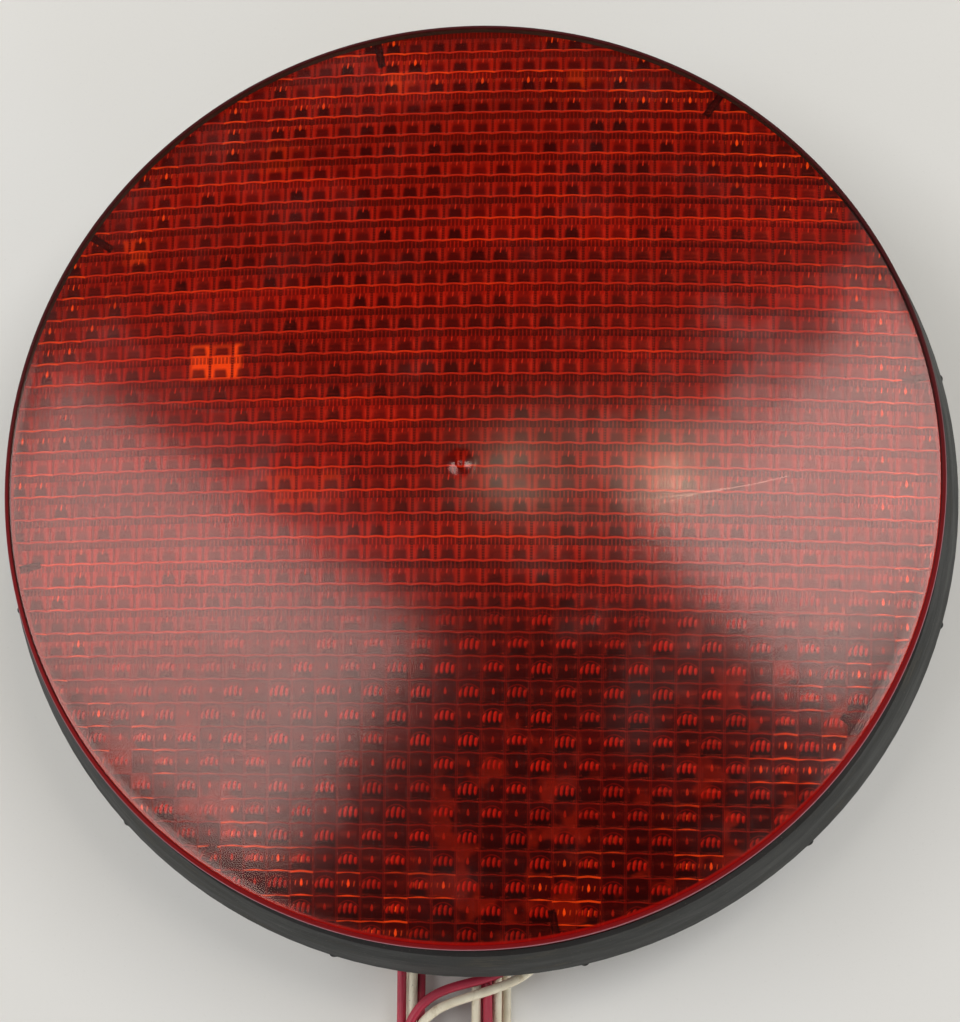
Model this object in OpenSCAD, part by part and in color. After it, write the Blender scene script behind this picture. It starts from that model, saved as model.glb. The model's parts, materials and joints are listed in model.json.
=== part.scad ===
// A round 300 mm LED signal module: lens, gasket, housing, light engine, driver and two supply leads.
// It lies on its rear cover at z = 0 with the lens facing up, and the leads leave towards -Y.

/* [Outer lens] */
// Radius of the lens at its side wall
lens_r = 149; // [120:1:180]
// Thickness of the lens
lens_wall = 3; // [2:0.1:4]
// Height of the dome above the lens rim
lens_rise = 14; // [6:1:24]
// Height of the side wall, from the flange's underside to the rim
lens_side_h = 34; // [30:1:42]
// How far the lens flange stands out from the side wall
lens_flange_w = 2.5; // [2:0.5:3.5]
// Thickness of the lens flange
lens_flange_t = 3; // [2:0.5:4]

/* [Inner lens] */
// Thickness of the inner lens at its grooves
fresnel_t = 2.5; // [2:0.5:4]
// Number of grooves in the inner lens
fresnel_grooves = 20; // [8:1:24]
// Depth of each groove
fresnel_groove_h = 1.2; // [0.6:0.1:2]
// Height of the inner lens above the flanges
fresnel_lift = 18; // [16:1:20]

/* [Gasket] */
// How far the gasket stands out from the lens wall
gasket_w = 8.5; // [7:0.5:12]
// How far the gasket reaches in front of the flanges
gasket_front_h = 16; // [13:1:20]
// How far the gasket reaches behind the flanges
gasket_back_h = 7; // [6:0.5:9]
// Number of moulding nubs round the gasket
gasket_nubs = 12; // [4:1:24]

/* [Housing] */
// Wall of the housing dish
housing_wall = 3; // [2:0.5:4]
// Depth of the dish, from its deck to the flange's face
dish_h = 14; // [12:1:24]
// Thickness of the housing flange
flange_t = 3; // [2:0.5:4]
// Number of ribs that carry the inner lens
rim_ribs = 8; // [4:1:12]
// Thickness of each rib
rim_rib_t = 2.3; // [1.5:0.1:3]
// Number of stiffening webs on the back
back_webs = 8; // [4:1:16]

/* [Driver bay] */
// Inner radius of the driver bay
bay_r = 72.5; // [70:0.5:90]
// Inner depth of the driver bay
bay_h = 29; // [27:1:40]
// Wall of the driver bay
bay_wall = 3.5; // [2.5:0.5:5]
// Thickness of the rear cover
cover_t = 4; // [4:0.5:6]
// Number of cover screws
cover_screw_count = 6; // [4:1:12]

/* [Light engine] */
// Radius of the heat sink
sink_r = 60; // [58:1:68]
// Thickness of the heat sink's plate
sink_t = 4; // [3:0.5:6]
// Radius of the LED board
led_board_r = 44; // [43:1:46]
// LEDs on the inner ring
led_inner_count = 6; // [3:1:6]
// LEDs on the outer ring
led_outer_count = 12; // [8:1:14]

/* [Driver board] */
// Length of the driver board
board_l = 104; // [100:1:108]
// Width of the driver board
board_w = 84; // [80:1:86]
// Gap between the rear cover and the driver board
board_lift = 5; // [4:0.5:6]

/* [Leads] */
// Diameter of each lead
lead_d = 3.2; // [2.4:0.1:3.6]
// Distance between the two leads where they leave
lead_pitch = 3.8; // [3.7:0.1:4.4]
// Height of the leads' exit
lead_exit_z = 16.5; // [15:0.5:18]
// Length of the strain relief's snout
snout_l = 14; // [10:1:14]

/* [Hidden] */

$fn = 96;
fine_fn = 180;          // for the large spheres and rims
eps = 0.01;             // a cut passes its face by this much
gap = 0.3;              // clearance between curved faces that meet
pocket_gap = 0.1;       // clearance of a screw, stud or wire in its hole

// Heights, from the rear cover's outer face upwards
deck_z = cover_t + bay_h;
deck_top = deck_z + housing_wall;
flange_z = deck_top + dish_h;
rim_z = flange_z + lens_side_h;
crown_z = rim_z + lens_rise;
sink_top = deck_top + sink_t;
pad_t = 0.5;
pcb_t = 1.6;
led_board_z = sink_top + pad_t;
led_z = led_board_z + pcb_t;
board_z = cover_t + board_lift;
parts_z = board_z + pcb_t;

// Radii
lens_inner_r = lens_r - lens_wall;
flange_r = lens_r + lens_flange_w;
gasket_r = lens_r + gasket_w;
dome_r = (lens_r * lens_r + lens_rise * lens_rise) / (2 * lens_rise);
rim_r = lens_r - 7.5;                     // outside of the dish's upright rim
collar_r = lens_inner_r - gap;            // the collar that centres the lens
collar_wall = 2.4;
collar_h = 14;
bay_out_r = bay_r + bay_wall;
bay_flange_r = bay_out_r + 10;
bay_flange_t = 4;

// Dish
cone_z = deck_z - 5;                      // where the cone leaves the bay wall
cone_top_z = flange_z - flange_t - 5;
cone_slope = (cone_top_z - cone_z) / (rim_r - bay_out_r);
cone_rise = housing_wall * sqrt(1 + cone_slope * cone_slope);
cone_floor_r = bay_out_r + (deck_top - cone_z - cone_rise) / cone_slope;
rim_inner_r = rim_r - housing_wall;
cone_inner_top = cone_z + cone_slope * (rim_inner_r - bay_out_r) + cone_rise;

// Ribs under the lens rim
rib_first = -11.5;                        // degrees clockwise from +Y
rib_len = 6.1;
rib_end_r = 1.5;
rib_shelf = 5.5;                          // the shelf under the inner lens
rib_top_z = rim_z - lens_wall - 3;
fresnel_z = flange_z + fresnel_lift;
fresnel_r = collar_r - rib_len - gap - rib_end_r;

// Gasket
channel_r = flange_r + gap;
gasket_front_z = flange_z + gasket_front_h;
gasket_back_z = flange_z - gasket_back_h;
channel_top = flange_z + lens_flange_t + gap;
channel_low = flange_z - flange_t - gap;
lip_t = 2;
nub_r = 1.6;
nub_out = 0.5;                            // how far each nub stands out
nub_h = 5.5;
nub_first = 16.3;                         // degrees clockwise from +Y

// Screws
screw_d = 3;
head_d = 5.6;
head_h = 2.2;
sink_screw_r = sink_r - 6.5;
led_screw_r = led_board_r - 4.5;
cover_screw_r = bay_out_r + 5.5;
cover_screw_l = 8;
counterbore_h = 2.6;
boss_h = 5;

// Seals
seal_w = 2;
seal_h = 1.4;
cover_seal_r = bay_out_r + 0.8;
lens_seal_r = lens_r - 0.5;

// Light engine
wire_hole_r = 4;
fin_count = 24;
fin_t = 2;
fin_h = 10;
fin_l = 13;
led_inner_r = 14;
led_outer_r = led_board_r - 14;
led_w = 3.5;
led_base_h = 1;
led_dome_r = 1.3;
optic_base_r = 2.6;
optic_top_r = 4.3;
optic_lift = 0.8;
optic_plate_z = led_z + 8;
optic_plate_t = 2;
optic_plate_r = led_outer_r + 8;
optic_leg_r = 2;

// Driver board
standoff_x = board_l / 2 - 6;
standoff_y = board_w / 2 - 6;
standoff_d = 6.9;
stud_h = 2.4;
connector_y = -board_w / 2 + 2;           // the input connector's face
connector_l = 8;
core_at = [10, 18];
core = [24, 12, 18];
core_leg = 6;
core_window = [4.6, 10];
output_at = [-4, 2];

// Rear cover
cover_lip_h = 2.5;
cover_lip_w = 3.2;
vent_at = [-40, 30];
vent_r = 7.2;
vent_recess = 1.5;
vent_stem_r = 3;

// Strain relief, along -Y
relief_flange_r = 7;
relief_flange_t = 1.7;
relief_neck_r = 4.8;
snout_base_r = 6;
snout_tip_r = 4.4;
relief_in_y = -bay_r + 0.4;
relief_out_y = -bay_out_r - 0.2;

// Leads: hand-chosen points in millimetres
lead_sides = 8;
wire_end = 0.2;                           // a wire stops this far from its connector's face
red_start = [[-1.9, -78, 16.5], [-1.9, -86, 16.5], [-1.9, -92, 16.5], [-2, -96, 16], [-2, -100, 15]];
white_start = [[1.9, -78, 16.5], [1.9, -86, 16.5], [1.9, -92, 16.5], [2, -96, 16], [2, -100, 15]];
red_tail = [[19, -115, 1.7], [23, -115, 2], [27, -115, 2.8], [32, -115, 2.8]];
white_tail = [[19, -125, 1.7], [23, -125, 2], [27, -125, 2.8], [32, -125, 2.8]];
joint_y = red_start[0][1];                // the inner wires and the leads meet here, in the relief
hank_x = -7;
hank_r = 27.5;
hank_near_y = -98;
hank_far_y = -198;
hank_h = 16.4;
tie_y = -136;
tie_w = 4.8;
tie_t = 1.1;
tie_rise = 1.1;                           // the wires rise over the band, so it closes this much higher
tie_head = [8, 6.4, 4];
sleeve_l = 12;
sleeve_r = 2.8;
tab_l = 8;
tab_w = 6.3;
tab_t = 0.8;

// ---- helpers ----

module ring(outer, inner, low, high) {
    translate([0, 0, low]) difference() {
        cylinder(r = outer, h = high - low);
        translate([0, 0, -eps]) cylinder(r = inner, h = high - low + 2 * eps);
    }
}

// a pan-head screw with its head above z = 0 and a cross recess
module screw(length) {
    slot = [head_d * 0.6, 0.8, 1];
    difference() {
        union() {
            cylinder(d = head_d, h = head_h, $fn = 32);
            translate([0, 0, -length]) cylinder(d = screw_d, h = length + eps, $fn = 32);
        }
        for (turn = [0, 90])
            rotate(turn) translate([-slot[0] / 2, -slot[1] / 2, head_h - slot[2]])
                cube([slot[0], slot[1], slot[2] + eps]);
    }
}

module screw_holes(radius, count, first, low, high) {
    for (k = [0 : count - 1])
        rotate(first + k * 360 / count) translate([radius, 0, low])
            cylinder(d = screw_d + 2 * pocket_gap, h = high - low, $fn = 32);
}

module board_corners() {
    for (x = [-standoff_x, standoff_x], y = [-standoff_y, standoff_y])
        translate([x, y, 0]) children();
}

// centres of the LEDs, with the inner ring first
led_places = [
    for (k = [0 : led_inner_count - 1]) let (a = k * 360 / led_inner_count)
        [led_inner_r * cos(a), led_inner_r * sin(a)],
    for (k = [0 : led_outer_count - 1]) let (a = (k + 0.5) * 360 / led_outer_count)
        [led_outer_r * cos(a), led_outer_r * sin(a)]
];

// A tube along a smooth curve through the route's points: each ring of corners is square to the curve.
function unit(v) = v / norm(v);
function curve(p, i, t) =
    let (a = p[max(i - 1, 0)], b = p[i], c = p[i + 1], d = p[min(i + 2, len(p) - 1)])
    0.5 * ((2 * b) + (c - a) * t + (2 * a - 5 * b + 4 * c - d) * t * t + (3 * b - a - 3 * c + d) * t * t * t);
function along(p, steps) = concat(
    [for (i = [0 : len(p) - 2], s = [0 : steps - 1]) curve(p, i, s / steps)], [p[len(p) - 1]]);
function heading(q, i) = unit(q[min(i + 1, len(q) - 1)] - q[max(i - 1, 0)]);
function ring_at(q, i, r, sides, ref) =
    let (t = heading(q, i), u = unit(cross(t, ref)), v = cross(t, u))
    [for (k = [0 : sides - 1]) q[i] + r * (u * cos(k * 360 / sides) + v * sin(k * 360 / sides))];

module tube(route, d, steps = 1, sides = lead_sides, ref = [0, 0, 1]) {
    q = along(route, steps);
    n = len(q);
    corners = [for (i = [0 : n - 1]) each ring_at(q, i, d / 2, sides, ref)];
    walls = [for (i = [0 : n - 2], k = [0 : sides - 1]) let (m = (k + 1) % sides)
        [i * sides + k, i * sides + m, (i + 1) * sides + m, (i + 1) * sides + k]];
    first = [for (k = [sides - 1 : -1 : 0]) k];
    last = [for (k = [0 : sides - 1]) (n - 1) * sides + k];
    polyhedron(corners, concat(walls, [first, last]), convexity = 6);
}

// ---- optics ----

module dome_2d(radius, sphere_r, top) {
    intersection() {
        translate([0, top - sphere_r]) circle(r = sphere_r, $fn = 4 * fine_fn);
        translate([0, flange_z]) square([radius, top - flange_z + 1]);
    }
}

module outer_lens() {
    nub = [3, 1.6, 3];
    color([0.75, 0.06, 0.04, 0.8]) {
        rotate_extrude($fn = fine_fn) difference() {
            union() {
                dome_2d(lens_r, dome_r, crown_z);
                translate([0, flange_z]) square([flange_r, lens_flange_t]);
            }
            translate([0, -eps]) dome_2d(lens_inner_r, dome_r - lens_wall, crown_z - lens_wall);
        }
        rotate(14) translate([lens_r - 0.5, -nub[0] / 2, rim_z - nub[2] - 4])
            cube([nub[1] + 0.5, nub[0], nub[2]]);
    }
}

module fresnel_lens() {
    pitch = (fresnel_r - 6) / fresnel_grooves;
    teeth = [for (k = [0 : fresnel_grooves - 1]) each
        [[6 + k * pitch, fresnel_t], [6 + (k + 1) * pitch - 0.3, fresnel_t - fresnel_groove_h]]];
    color([0.9, 0.9, 0.92, 0.4])
        translate([0, 0, fresnel_z]) rotate_extrude($fn = fine_fn)
            polygon(concat([[0, 0], [fresnel_r, 0], [fresnel_r, fresnel_t]],
                [for (k = [len(teeth) - 1 : -1 : 0]) teeth[k]], [[0, fresnel_t]]));
}

module lens_seal() {
    color([0.75, 0.75, 0.75])
        ring(lens_seal_r + seal_w, lens_seal_r, flange_z - seal_h, flange_z);
}

module gasket_profile() {
    crease = [lens_r + lip_t + 0.45 * (gasket_w - lip_t), gasket_front_z - 6];
    groove_h = 2.2;
    inner = rim_r + gap;
    polygon([
        [lens_r + gap, channel_top], [lens_r + gap, gasket_front_z], [lens_r + lip_t, gasket_front_z],
        crease, [gasket_r, flange_z], [gasket_r, gasket_back_z], [gasket_r - 3.5, gasket_back_z],
        [gasket_r - 4, gasket_back_z + groove_h], [inner + 4.5, gasket_back_z + groove_h],
        [inner + 4, gasket_back_z], [inner, gasket_back_z + 1], [inner, channel_low],
        [channel_r, channel_low], [channel_r, channel_top]
    ]);
}

module gasket() {
    color([0.07, 0.07, 0.07]) {
        rotate_extrude($fn = fine_fn) gasket_profile();
        for (k = [0 : gasket_nubs - 1])
            rotate(90 - nub_first - k * 360 / gasket_nubs)
                translate([gasket_r + nub_out - nub_r, 0, gasket_back_z + 1])
                    cylinder(r = nub_r, h = nub_h, $fn = 24);
    }
}

// ---- housing ----

module housing_profile() {
    polygon([
        [bay_r, cover_t], [bay_flange_r, cover_t], [bay_flange_r, cover_t + bay_flange_t],
        [bay_out_r, cover_t + bay_flange_t], [bay_out_r, cone_z], [rim_r, cone_top_z],
        [rim_r, flange_z - flange_t], [flange_r, flange_z - flange_t], [flange_r, flange_z],
        [collar_r, flange_z], [collar_r, flange_z + collar_h],
        [collar_r - collar_wall, flange_z + collar_h], [collar_r - collar_wall, flange_z],
        [rim_inner_r, flange_z], [rim_inner_r, cone_inner_top], [cone_floor_r, deck_top],
        [0, deck_top], [0, deck_z], [bay_r, deck_z]
    ]);
}

// one rib: a shelf for the inner lens with a taller round-ended fin outside it
module rim_rib() {
    shelf_low = cone_inner_top - 3;
    tip = collar_r - rib_len;
    translate([tip - rib_shelf, -rim_rib_t / 2, shelf_low])
        cube([rim_inner_r + 1 - tip + rib_shelf, rim_rib_t, fresnel_z - shelf_low]);
    translate([tip, -rim_rib_t / 2, flange_z])
        cube([collar_r - 0.2 - tip, rim_rib_t, rib_top_z - flange_z]);
    translate([tip, 0, fresnel_z]) cylinder(r = rib_end_r, h = rib_top_z - fresnel_z, $fn = 24);
}

module back_web() {
    low = cover_t + bay_flange_t;
    far = rim_r - 6;
    rotate([90, 0, 0]) translate([0, 0, -1]) linear_extrude(2)
        polygon([[bay_out_r - 0.5, low + 4], [bay_out_r - 0.5, cone_z],
            [far, cone_z + cone_slope * (far - bay_out_r) + 1],
            [far, cone_z + cone_slope * (far - bay_out_r) - 1.5]]);
}

module housing() {
    groove = 0.2;
    color([0.16, 0.16, 0.17]) difference() {
        union() {
            rotate_extrude($fn = fine_fn) housing_profile();
            for (k = [0 : rim_ribs - 1])
                rotate(90 - rib_first - k * 360 / rim_ribs) rim_rib();
            for (k = [0 : back_webs - 1])
                rotate(90 + (k + 0.5) * 360 / back_webs) back_web();
            for (k = [0 : cover_screw_count - 1])
                rotate(90 + k * 360 / cover_screw_count + 180 / cover_screw_count)
                    translate([cover_screw_r, 0, cover_t + bay_flange_t - eps])
                        cylinder(d = 8, h = boss_h, $fn = 48);
        }
        ring(lens_seal_r + seal_w + groove, lens_seal_r - groove, flange_z - seal_h - groove, flange_z + eps);
        ring(cover_seal_r + seal_w + groove, cover_seal_r - groove, cover_t - eps, cover_t + seal_h + groove);
        translate([0, 0, deck_z - eps]) cylinder(r = wire_hole_r, h = housing_wall + 2 * eps, $fn = 48);
        screw_holes(sink_screw_r, 4, 45, deck_z - eps, deck_top + eps);
        rotate(90 + 180 / cover_screw_count)
            screw_holes(cover_screw_r, cover_screw_count, 0, cover_t - eps, cover_t + cover_screw_l);
        board_corners() translate([0, 0, deck_z - eps])
            cylinder(d = screw_d + 2 * pocket_gap, h = stud_h + pocket_gap, $fn = 32);
        translate([0, -bay_r + 5, lead_exit_z]) rotate([90, 0, 0])
            cylinder(r = relief_neck_r + 0.2, h = bay_wall + 10, $fn = 48);
    }
}

// ---- light engine ----

module heat_sink() {
    color([0.75, 0.76, 0.78]) {
        difference() {
            translate([0, 0, deck_top]) cylinder(r = sink_r, h = sink_t);
            translate([0, 0, deck_top - eps]) cylinder(r = wire_hole_r, h = sink_t + 2 * eps, $fn = 48);
            screw_holes(sink_screw_r, 4, 45, deck_top - eps, sink_top + eps);
            screw_holes(led_screw_r, 4, 0, deck_top - eps, sink_top + eps);
        }
        for (k = [0 : fin_count - 1])
            rotate((k + 0.5) * 360 / fin_count) translate([sink_r - fin_l, -fin_t / 2, sink_top - eps])
                cube([fin_l - 0.5, fin_t, fin_h]);
    }
}

module heat_sink_screws() {
    color([0.7, 0.7, 0.7])
        for (k = [0 : 3]) rotate(45 + 90 * k) translate([sink_screw_r, 0, sink_top])
            screw(sink_t + housing_wall - 0.6);
}

module thermal_pad() {
    color([0.6, 0.62, 0.66]) difference() {
        translate([0, 0, sink_top]) cylinder(r = led_board_r - 1, h = pad_t);
        translate([0, 0, sink_top - eps]) cylinder(r = wire_hole_r, h = pad_t + 2 * eps, $fn = 48);
        screw_holes(led_screw_r, 4, 0, sink_top - eps, sink_top + pad_t + eps);
    }
}

module led_board() {
    color([0.92, 0.92, 0.9]) difference() {
        translate([0, 0, led_board_z]) cylinder(r = led_board_r, h = pcb_t);
        translate([0, 0, led_board_z - eps]) cylinder(r = wire_hole_r, h = pcb_t + 2 * eps, $fn = 48);
        screw_holes(led_screw_r, 4, 0, led_board_z - eps, led_z + eps);
    }
}

module leds() {
    color([0.95, 0.75, 0.7])
        for (p = led_places) translate([p[0], p[1], led_z]) {
            translate([-led_w / 2, -led_w / 2, 0]) cube([led_w, led_w, led_base_h]);
            translate([0, 0, led_base_h]) intersection() {
                sphere(r = led_dome_r, $fn = 24);
                translate([-led_w, -led_w, -eps]) cube(2 * led_w);
            }
        }
}

module optic_plate() {
    legs = 4;
    color([0.85, 0.88, 0.9, 0.5]) difference() {
        union() {
            translate([0, 0, optic_plate_z]) cylinder(r = optic_plate_r, h = optic_plate_t);
            for (p = led_places) translate([p[0], p[1], led_z + led_base_h + optic_lift])
                cylinder(r1 = optic_base_r, r2 = optic_top_r,
                    h = optic_plate_z - led_z - led_base_h - optic_lift + eps, $fn = 32);
            for (k = [0 : legs - 1]) rotate(45 + k * 90) translate([optic_plate_r - optic_leg_r, 0, led_z])
                cylinder(r = optic_leg_r, h = optic_plate_z - led_z + eps, $fn = 24);
        }
        for (p = led_places) translate([p[0], p[1], led_z])
            cylinder(r = led_dome_r + 0.4, h = led_base_h + led_dome_r + 0.8, $fn = 24);
    }
}

module led_board_screws() {
    color([0.7, 0.7, 0.7])
        for (k = [0 : 3]) rotate(90 * k) translate([led_screw_r, 0, led_z]) screw(pcb_t + pad_t + sink_t - 0.5);
}

module led_wires() {
    wire_d = 1.6;
    top = led_z + wire_d / 2 + 0.1;
    color([0.8, 0.1, 0.1]) for (side = [-1, 1])
        tube([[output_at[0] + side * 1.4, output_at[1], parts_z + 7 + wire_end],
            [output_at[0] + side * 1.4, output_at[1], parts_z + 11],
            [side * 1.3, 0, deck_z - 4], [side * 1.3, 0, led_board_z - 4], [side * 1.6, 0, led_z - 1.2],
            [side * 3.4, 0, top], [side * 7, 0, top]], wire_d, 2, 8, [0, 1, 0]);
}

// ---- driver ----

module standoffs() {
    color([0.85, 0.75, 0.4]) board_corners() difference() {
        union() {
            translate([0, 0, parts_z]) cylinder(d = standoff_d, h = deck_z - parts_z, $fn = 6);
            translate([0, 0, deck_z - eps]) cylinder(d = screw_d, h = stud_h, $fn = 32);
        }
        translate([0, 0, parts_z - eps]) cylinder(d = screw_d + 2 * pocket_gap, h = 8, $fn = 32);
    }
}

module driver_board() {
    color([0.1, 0.4, 0.2]) difference() {
        translate([-board_l / 2, -board_w / 2, board_z]) cube([board_l, board_w, pcb_t]);
        board_corners() translate([0, 0, board_z - eps])
            cylinder(d = screw_d + 2 * pocket_gap, h = pcb_t + 2 * eps, $fn = 32);
    }
}

module board_screws() {
    color([0.7, 0.7, 0.7]) board_corners() translate([0, 0, board_z]) mirror([0, 0, 1]) screw(pcb_t + 6);
}

module transformer_core() {
    yoke = (core[2] - core_window[1]) / 2;
    color([0.2, 0.2, 0.22]) translate([core_at[0], core_at[1], parts_z]) difference() {
        translate([-core[0] / 2, -core[1] / 2, 0]) cube(core);
        for (side = [-1, 1])
            translate([side * (core_leg + core_window[0]) / 2 - core_window[0] / 2, -core[1] / 2 - eps, yoke])
                cube([core_window[0], core[1] + 2 * eps, core_window[1]]);
    }
}

module transformer_winding() {
    yoke = (core[2] - core_window[1]) / 2;
    side = 0.2;
    outer = [core_leg + 2 * core_window[0] - 2 * side, core[1] + 8, core_window[1] - 2 * side];
    hole = [core_leg + 2 * side, core[1] + 2 * side, outer[2] + 2 * eps];
    color([0.85, 0.7, 0.2]) translate([core_at[0], core_at[1], parts_z + yoke + side]) difference() {
        translate([-outer[0] / 2, -outer[1] / 2, 0]) cube(outer);
        translate([-hole[0] / 2, -hole[1] / 2, -eps]) cube(hole);
    }
}

module choke() {
    color([0.7, 0.4, 0.15]) translate([-28, 24, parts_z + 4]) {
        rotate_extrude() translate([7, 0]) circle(r = 4, $fn = 32);
        for (side = [-1, 1]) translate([side * 7, 0, -4]) cylinder(r = 1, h = 4, $fn = 16);
    }
}

module bulk_capacitors() {
    color([0.15, 0.17, 0.3]) for (y = [-16, 2])
        translate([36, y, parts_z]) difference() {
            cylinder(d = 12.5, h = 20, $fn = 48);
            translate([0, 0, 1.6]) ring(8, 6, 0, 1);
        }
}

module film_capacitor() {
    color([0.85, 0.75, 0.2]) translate([-40, -8, parts_z]) cube([18, 8, 14]);
}

module varistor() {
    color([0.2, 0.35, 0.7]) translate([-36, -24, parts_z]) {
        translate([0, 2.2, 9]) rotate([90, 0, 0]) cylinder(d = 12, h = 4.4, $fn = 48);
        for (x = [-3.7, 3.7]) translate([x, 0, 0]) cylinder(d = 0.9, h = 6, $fn = 16);
    }
}

module fuse() {
    length = 20;
    color([0.8, 0.8, 0.82]) translate([-18, -34, parts_z]) {
        translate([-length / 2, 0, 5]) rotate([0, 90, 0]) cylinder(d = 5, h = length, $fn = 32);
        for (x = [-length / 2, length / 2 - 4.5]) {
            translate([x, 0, 5]) rotate([0, 90, 0]) cylinder(d = 5.8, h = 4.5, $fn = 32);
            translate([x + 1.5, -1.5, 0]) cube([1.5, 3, 3]);
        }
    }
}

module rectifier() {
    color([0.1, 0.1, 0.1]) translate([-12, -20, parts_z]) {
        translate([-8, -2, 3]) cube([16, 4, 11]);
        for (k = [0 : 3]) translate([-6 + 4 * k - 0.5, -0.4, 0]) cube([1, 0.8, 3 + eps]);
    }
}

module transistor() {
    color([0.12, 0.12, 0.13]) translate([18, -27, parts_z]) {
        translate([-5, 0, 4]) cube([10, 3.3, 9]);
        translate([-5, 3.3 - eps, 4]) cube([10, 1.3 + eps, 15]);
        for (x = [-2.5, 0, 2.5]) translate([x - 0.4, 1.2, 0]) cube([0.8, 0.6, 4 + eps]);
    }
}

module transistor_heat_sink() {
    color([0.7, 0.7, 0.72]) translate([18, -27 + 4.6, parts_z]) {
        translate([-11, 0, 0]) cube([22, 2, 20]);
        for (x = [-11, -6, 4.5, 9.5]) translate([x, 2 - eps, 0]) cube([1.5, 8, 20]);
    }
}

module controller_chip() {
    color([0.08, 0.08, 0.08]) translate([-10, 33, parts_z]) {
        translate([0, 0, 0.2]) cube([10, 4, 1.6]);
        for (k = [0 : 7], y = [-1, 4]) translate([0.6 + 1.2 * k, y, 0]) cube([0.5, 1, 1]);
    }
}

module input_connector() {
    color([0.9, 0.9, 0.88]) translate([-7, connector_y, parts_z]) cube([14, connector_l, 9]);
}

module output_connector() {
    color([0.9, 0.9, 0.88]) translate([output_at[0] - 4, output_at[1] - 3, parts_z]) cube([8, 6, 7]);
}

module input_wires() {
    color([0.85, 0.8, 0.7]) for (side = [-1, 1])
        tube([[side * lead_pitch / 2, joint_y, lead_exit_z],
            [side * lead_pitch / 2, relief_in_y + 3, lead_exit_z],
            [side * 3, (relief_in_y + connector_y) / 2, (lead_exit_z + parts_z + 5) / 2],
            [side * 3, connector_y - 4, parts_z + 5],
            [side * 3, connector_y - wire_end, parts_z + 5]], lead_d, 2);
}

// ---- rear ----

module rear_cover() {
    color([0.16, 0.16, 0.17]) difference() {
        union() {
            cylinder(r = bay_flange_r, h = cover_t);
            ring(bay_r - gap, bay_r - gap - cover_lip_w, cover_t - eps, cover_t + cover_lip_h);
        }
        rotate(90 + 180 / cover_screw_count) {
            screw_holes(cover_screw_r, cover_screw_count, 0, -eps, cover_t + eps);
            for (k = [0 : cover_screw_count - 1]) rotate(k * 360 / cover_screw_count)
                translate([cover_screw_r, 0, -eps])
                    cylinder(d = head_d + 0.6, h = counterbore_h + eps, $fn = 48);
        }
        translate([vent_at[0], vent_at[1], -eps]) {
            cylinder(r = vent_r + pocket_gap, h = vent_recess + eps, $fn = 48);
            cylinder(r = vent_stem_r + pocket_gap, h = cover_t + 2 * eps, $fn = 48);
        }
    }
}

module cover_seal() {
    color([0.1, 0.1, 0.1]) ring(cover_seal_r + seal_w, cover_seal_r, cover_t, cover_t + seal_h);
}

module cover_screws() {
    color([0.7, 0.7, 0.7]) rotate(90 + 180 / cover_screw_count)
        for (k = [0 : cover_screw_count - 1]) rotate(k * 360 / cover_screw_count)
            translate([cover_screw_r, 0, counterbore_h]) mirror([0, 0, 1])
                screw(cover_t - counterbore_h + cover_screw_l - cover_t - 0.5);
}

module vent_plug() {
    slots = 6;
    color([0.25, 0.25, 0.26]) translate([vent_at[0], vent_at[1], 0]) {
        difference() {
            translate([0, 0, 0.3]) cylinder(r = vent_r, h = vent_recess - 0.3, $fn = 48);
            for (k = [0 : slots - 1]) rotate(k * 360 / slots)
                translate([vent_stem_r + 0.6, -0.5, 0.3 - eps]) cube([vent_r - vent_stem_r - 1.6, 1, 0.6]);
        }
        translate([0, 0, vent_recess - eps]) cylinder(r = vent_stem_r, h = cover_t - vent_recess + 1, $fn = 48);
    }
}

module strain_relief() {
    color([0.09, 0.09, 0.09]) difference() {
        translate([0, 0, lead_exit_z]) rotate([90, 0, 0]) {
            translate([0, 0, -relief_in_y - relief_flange_t])
                cylinder(r = relief_flange_r, h = relief_flange_t, $fn = 48);
            translate([0, 0, -relief_in_y - eps])
                cylinder(r = relief_neck_r, h = relief_in_y - relief_out_y + 2 * eps, $fn = 48);
            translate([0, 0, -relief_out_y]) cylinder(r = relief_flange_r, h = relief_flange_t, $fn = 48);
            translate([0, 0, -relief_out_y + relief_flange_t - eps])
                cylinder(r1 = snout_base_r, r2 = snout_tip_r, h = snout_l + eps, $fn = 48);
        }
        for (side = [-1, 1]) translate([side * lead_pitch / 2, relief_in_y + 3, lead_exit_z]) rotate([90, 0, 0])
            cylinder(d = lead_d + 2 * pocket_gap, h = 40, $fn = 32);
    }
}

// ---- leads ----

module red_lead() {
    color([0.65, 0.06, 0.1]) {
        tube(red_start, lead_d);
        tube(red_tail, lead_d);
    }
}

module white_lead() {
    color([0.9, 0.86, 0.76]) {
        tube(white_start, lead_d);
        tube(white_tail, lead_d);
    }
}

module hank_outline() {
    for (y = [hank_near_y - hank_r, hank_far_y + hank_r]) translate([hank_x, y]) circle(r = hank_r);
    translate([hank_x - hank_r, hank_far_y + hank_r]) square([2 * hank_r, hank_near_y - hank_far_y - 2 * hank_r]);
}

module lead_hank() {
    color([0.75, 0.4, 0.38]) difference() {
        linear_extrude(hank_h) hank_outline();
        translate([hank_x - hank_r - 1, tie_y - tie_w / 2 - 0.2, -1])
            cube([2 * hank_r + 2, tie_w + 0.4, tie_t + 1.2]);
    }
}

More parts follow.
